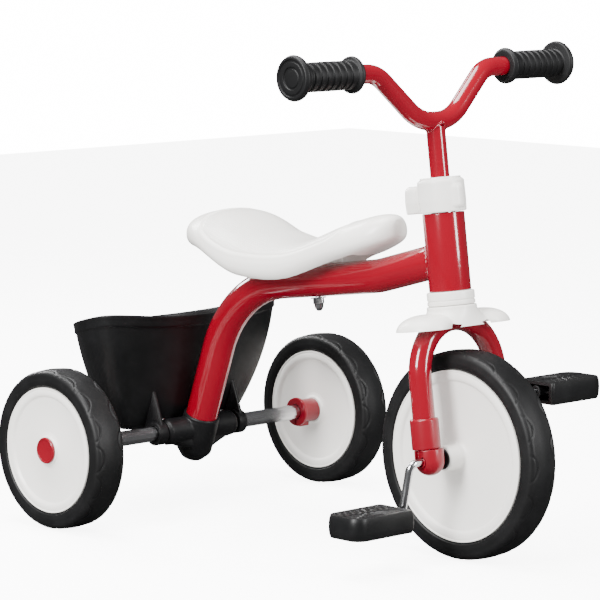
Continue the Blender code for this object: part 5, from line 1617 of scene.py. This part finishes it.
def make_camera():
    lens = bpy.data.cameras.new("studio_camera")
    lens.lens = CAMERA_LENS
    lens.sensor_width = 36.0
    lens.clip_end = 50.0
    camera = placed("studio_camera", lens)
    turn = Matrix((CAMERA_RIGHT, CAMERA_UP, CAMERA_BACK)).transposed()
    camera.matrix_world = Matrix.Translation(CAMERA_PLACE) @ turn.to_4x4()
    bpy.context.scene.camera = camera


def make_stage(colours, details):
    make_floor(colours)
    make_sky()
    for name, (place, aim, size, watts) in LAMPS.items():
        soft_box(name, place, aim, size, watts * details.soft_light)
    make_camera()


# ---- Operators


def settings():
    scene = bpy.context.scene
    return scene.tricycle_colours, scene.tricycle_details


class TRICYCLE_OT_finishes(bpy.types.Operator):
    """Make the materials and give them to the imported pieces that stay"""

    bl_idname = "tricycle.finishes"
    bl_label = "Finishes"

    def execute(self, context):
        make_finishes(*settings())
        finish_hidden_pieces()
        return {"FINISHED"}


class TRICYCLE_OT_frame_tubes(bpy.types.Operator):
    """Make the painted main tube and head tube, with the weld between them"""

    bl_idname = "tricycle.frame_tubes"
    bl_label = "Frame Tubes"

    def execute(self, context):
        make_frame_tubes(settings()[1])
        make_headset()
        return {"FINISHED"}


class TRICYCLE_OT_collar(bpy.types.Operator):
    """Make the clamp collar above the head tube, with its lip, slots and bolt"""

    bl_idname = "tricycle.collar"
    bl_label = "Collar"

    def execute(self, context):
        make_collar()
        return {"FINISHED"}


class TRICYCLE_OT_fork(bpy.types.Operator):
    """Make the fork with its crown cover, foot sleeves, round caps and bushes"""

    bl_idname = "tricycle.fork"
    bl_label = "Fork"

    def execute(self, context):
        make_fork()
        return {"FINISHED"}


class TRICYCLE_OT_handlebar(bpy.types.Operator):
    """Make the handlebar, its stem and the two ribbed grips"""

    bl_idname = "tricycle.handlebar"
    bl_label = "Handlebar and Grips"

    def execute(self, context):
        make_handlebar(settings()[1])
        make_grips(settings()[1])
        return {"FINISHED"}


class TRICYCLE_OT_front_wheel(bpy.types.Operator):
    """Make the front tyre and the two halves of its wheel"""

    bl_idname = "tricycle.front_wheel"
    bl_label = "Front Wheel"

    def execute(self, context):
        make_front_wheel(settings()[1])
        return {"FINISHED"}


class TRICYCLE_OT_crank(bpy.types.Operator):
    """Make the bent crank and the pedals that turn on it"""

    bl_idname = "tricycle.crank"
    bl_label = "Crank and Pedals"

    def execute(self, context):
        make_crank()
        make_pedals(settings()[1])
        return {"FINISHED"}


class TRICYCLE_OT_rear_wheels(bpy.types.Operator):
    """Make the rear wheels with their hub caps and stop bushes"""

    bl_idname = "tricycle.rear_wheels"
    bl_label = "Rear Wheels"

    def execute(self, context):
        make_rear_wheels(settings()[1])
        return {"FINISHED"}


class TRICYCLE_OT_bracket(bpy.types.Operator):
    """Make the moulded bracket that holds the axle to the frame, and its screws"""

    bl_idname = "tricycle.bracket"
    bl_label = "Axle Bracket"

    def execute(self, context):
        make_bracket()
        return {"FINISHED"}


class TRICYCLE_OT_basket(bpy.types.Operator):
    """Make the basket with the rings and webs that hang it on the axle"""

    bl_idname = "tricycle.basket"
    bl_label = "Basket"

    def execute(self, context):
        make_basket()
        return {"FINISHED"}


class TRICYCLE_OT_seat(bpy.types.Operator):
    """Make the seat with its creased panel, its boss and the nut below"""

    bl_idname = "tricycle.seat"
    bl_label = "Seat"

    def execute(self, context):
        make_seat(settings()[1])
        make_seat_fixings()
        return {"FINISHED"}


class TRICYCLE_OT_stage(bpy.types.Operator):
    """Make the floor, the soft lights and the camera"""

    bl_idname = "tricycle.stage"
    bl_label = "Studio"

    def execute(self, context):
        make_stage(*settings())
        return {"FINISHED"}


OPERATORS = (
    TRICYCLE_OT_finishes,
    TRICYCLE_OT_frame_tubes,
    TRICYCLE_OT_collar,
    TRICYCLE_OT_fork,
    TRICYCLE_OT_handlebar,
    TRICYCLE_OT_front_wheel,
    TRICYCLE_OT_crank,
    TRICYCLE_OT_rear_wheels,
    TRICYCLE_OT_bracket,
    TRICYCLE_OT_basket,
    TRICYCLE_OT_seat,
    TRICYCLE_OT_stage,
)


class TRICYCLE_PT_sidebar(bpy.types.Panel):
    """Colours, details and the makers of each piece"""

    bl_idname = "TRICYCLE_PT_sidebar"
    bl_label = "Children's Tricycle"
    bl_space_type = "VIEW_3D"
    bl_region_type = "UI"
    bl_category = "Tricycle"

    def draw(self, context):
        for group, title in zip(settings(), ("Colours", "Details")):
            box = self.layout.box()
            box.label(text=title)
            for name in type(group).__annotations__:
                box.prop(group, name)
        pieces = self.layout.column(align=True)
        for operator in OPERATORS:
            pieces.operator(operator.bl_idname)


CLASSES = (TricycleColours, TricycleDetails, *OPERATORS, TRICYCLE_PT_sidebar)


def register():
    for item in CLASSES:
        bpy.utils.register_class(item)
    bpy.types.Scene.tricycle_colours = PointerProperty(type=TricycleColours)
    bpy.types.Scene.tricycle_details = PointerProperty(type=TricycleDetails)


def unregister():
    del bpy.types.Scene.tricycle_details
    del bpy.types.Scene.tricycle_colours
    for item in reversed(CLASSES):
        bpy.utils.unregister_class(item)


def main():
    register()
    for operator in OPERATORS:
        family, name = operator.bl_idname.split(".")
        getattr(getattr(bpy.ops, family), name)()


if __name__ == "__main__":
    main()
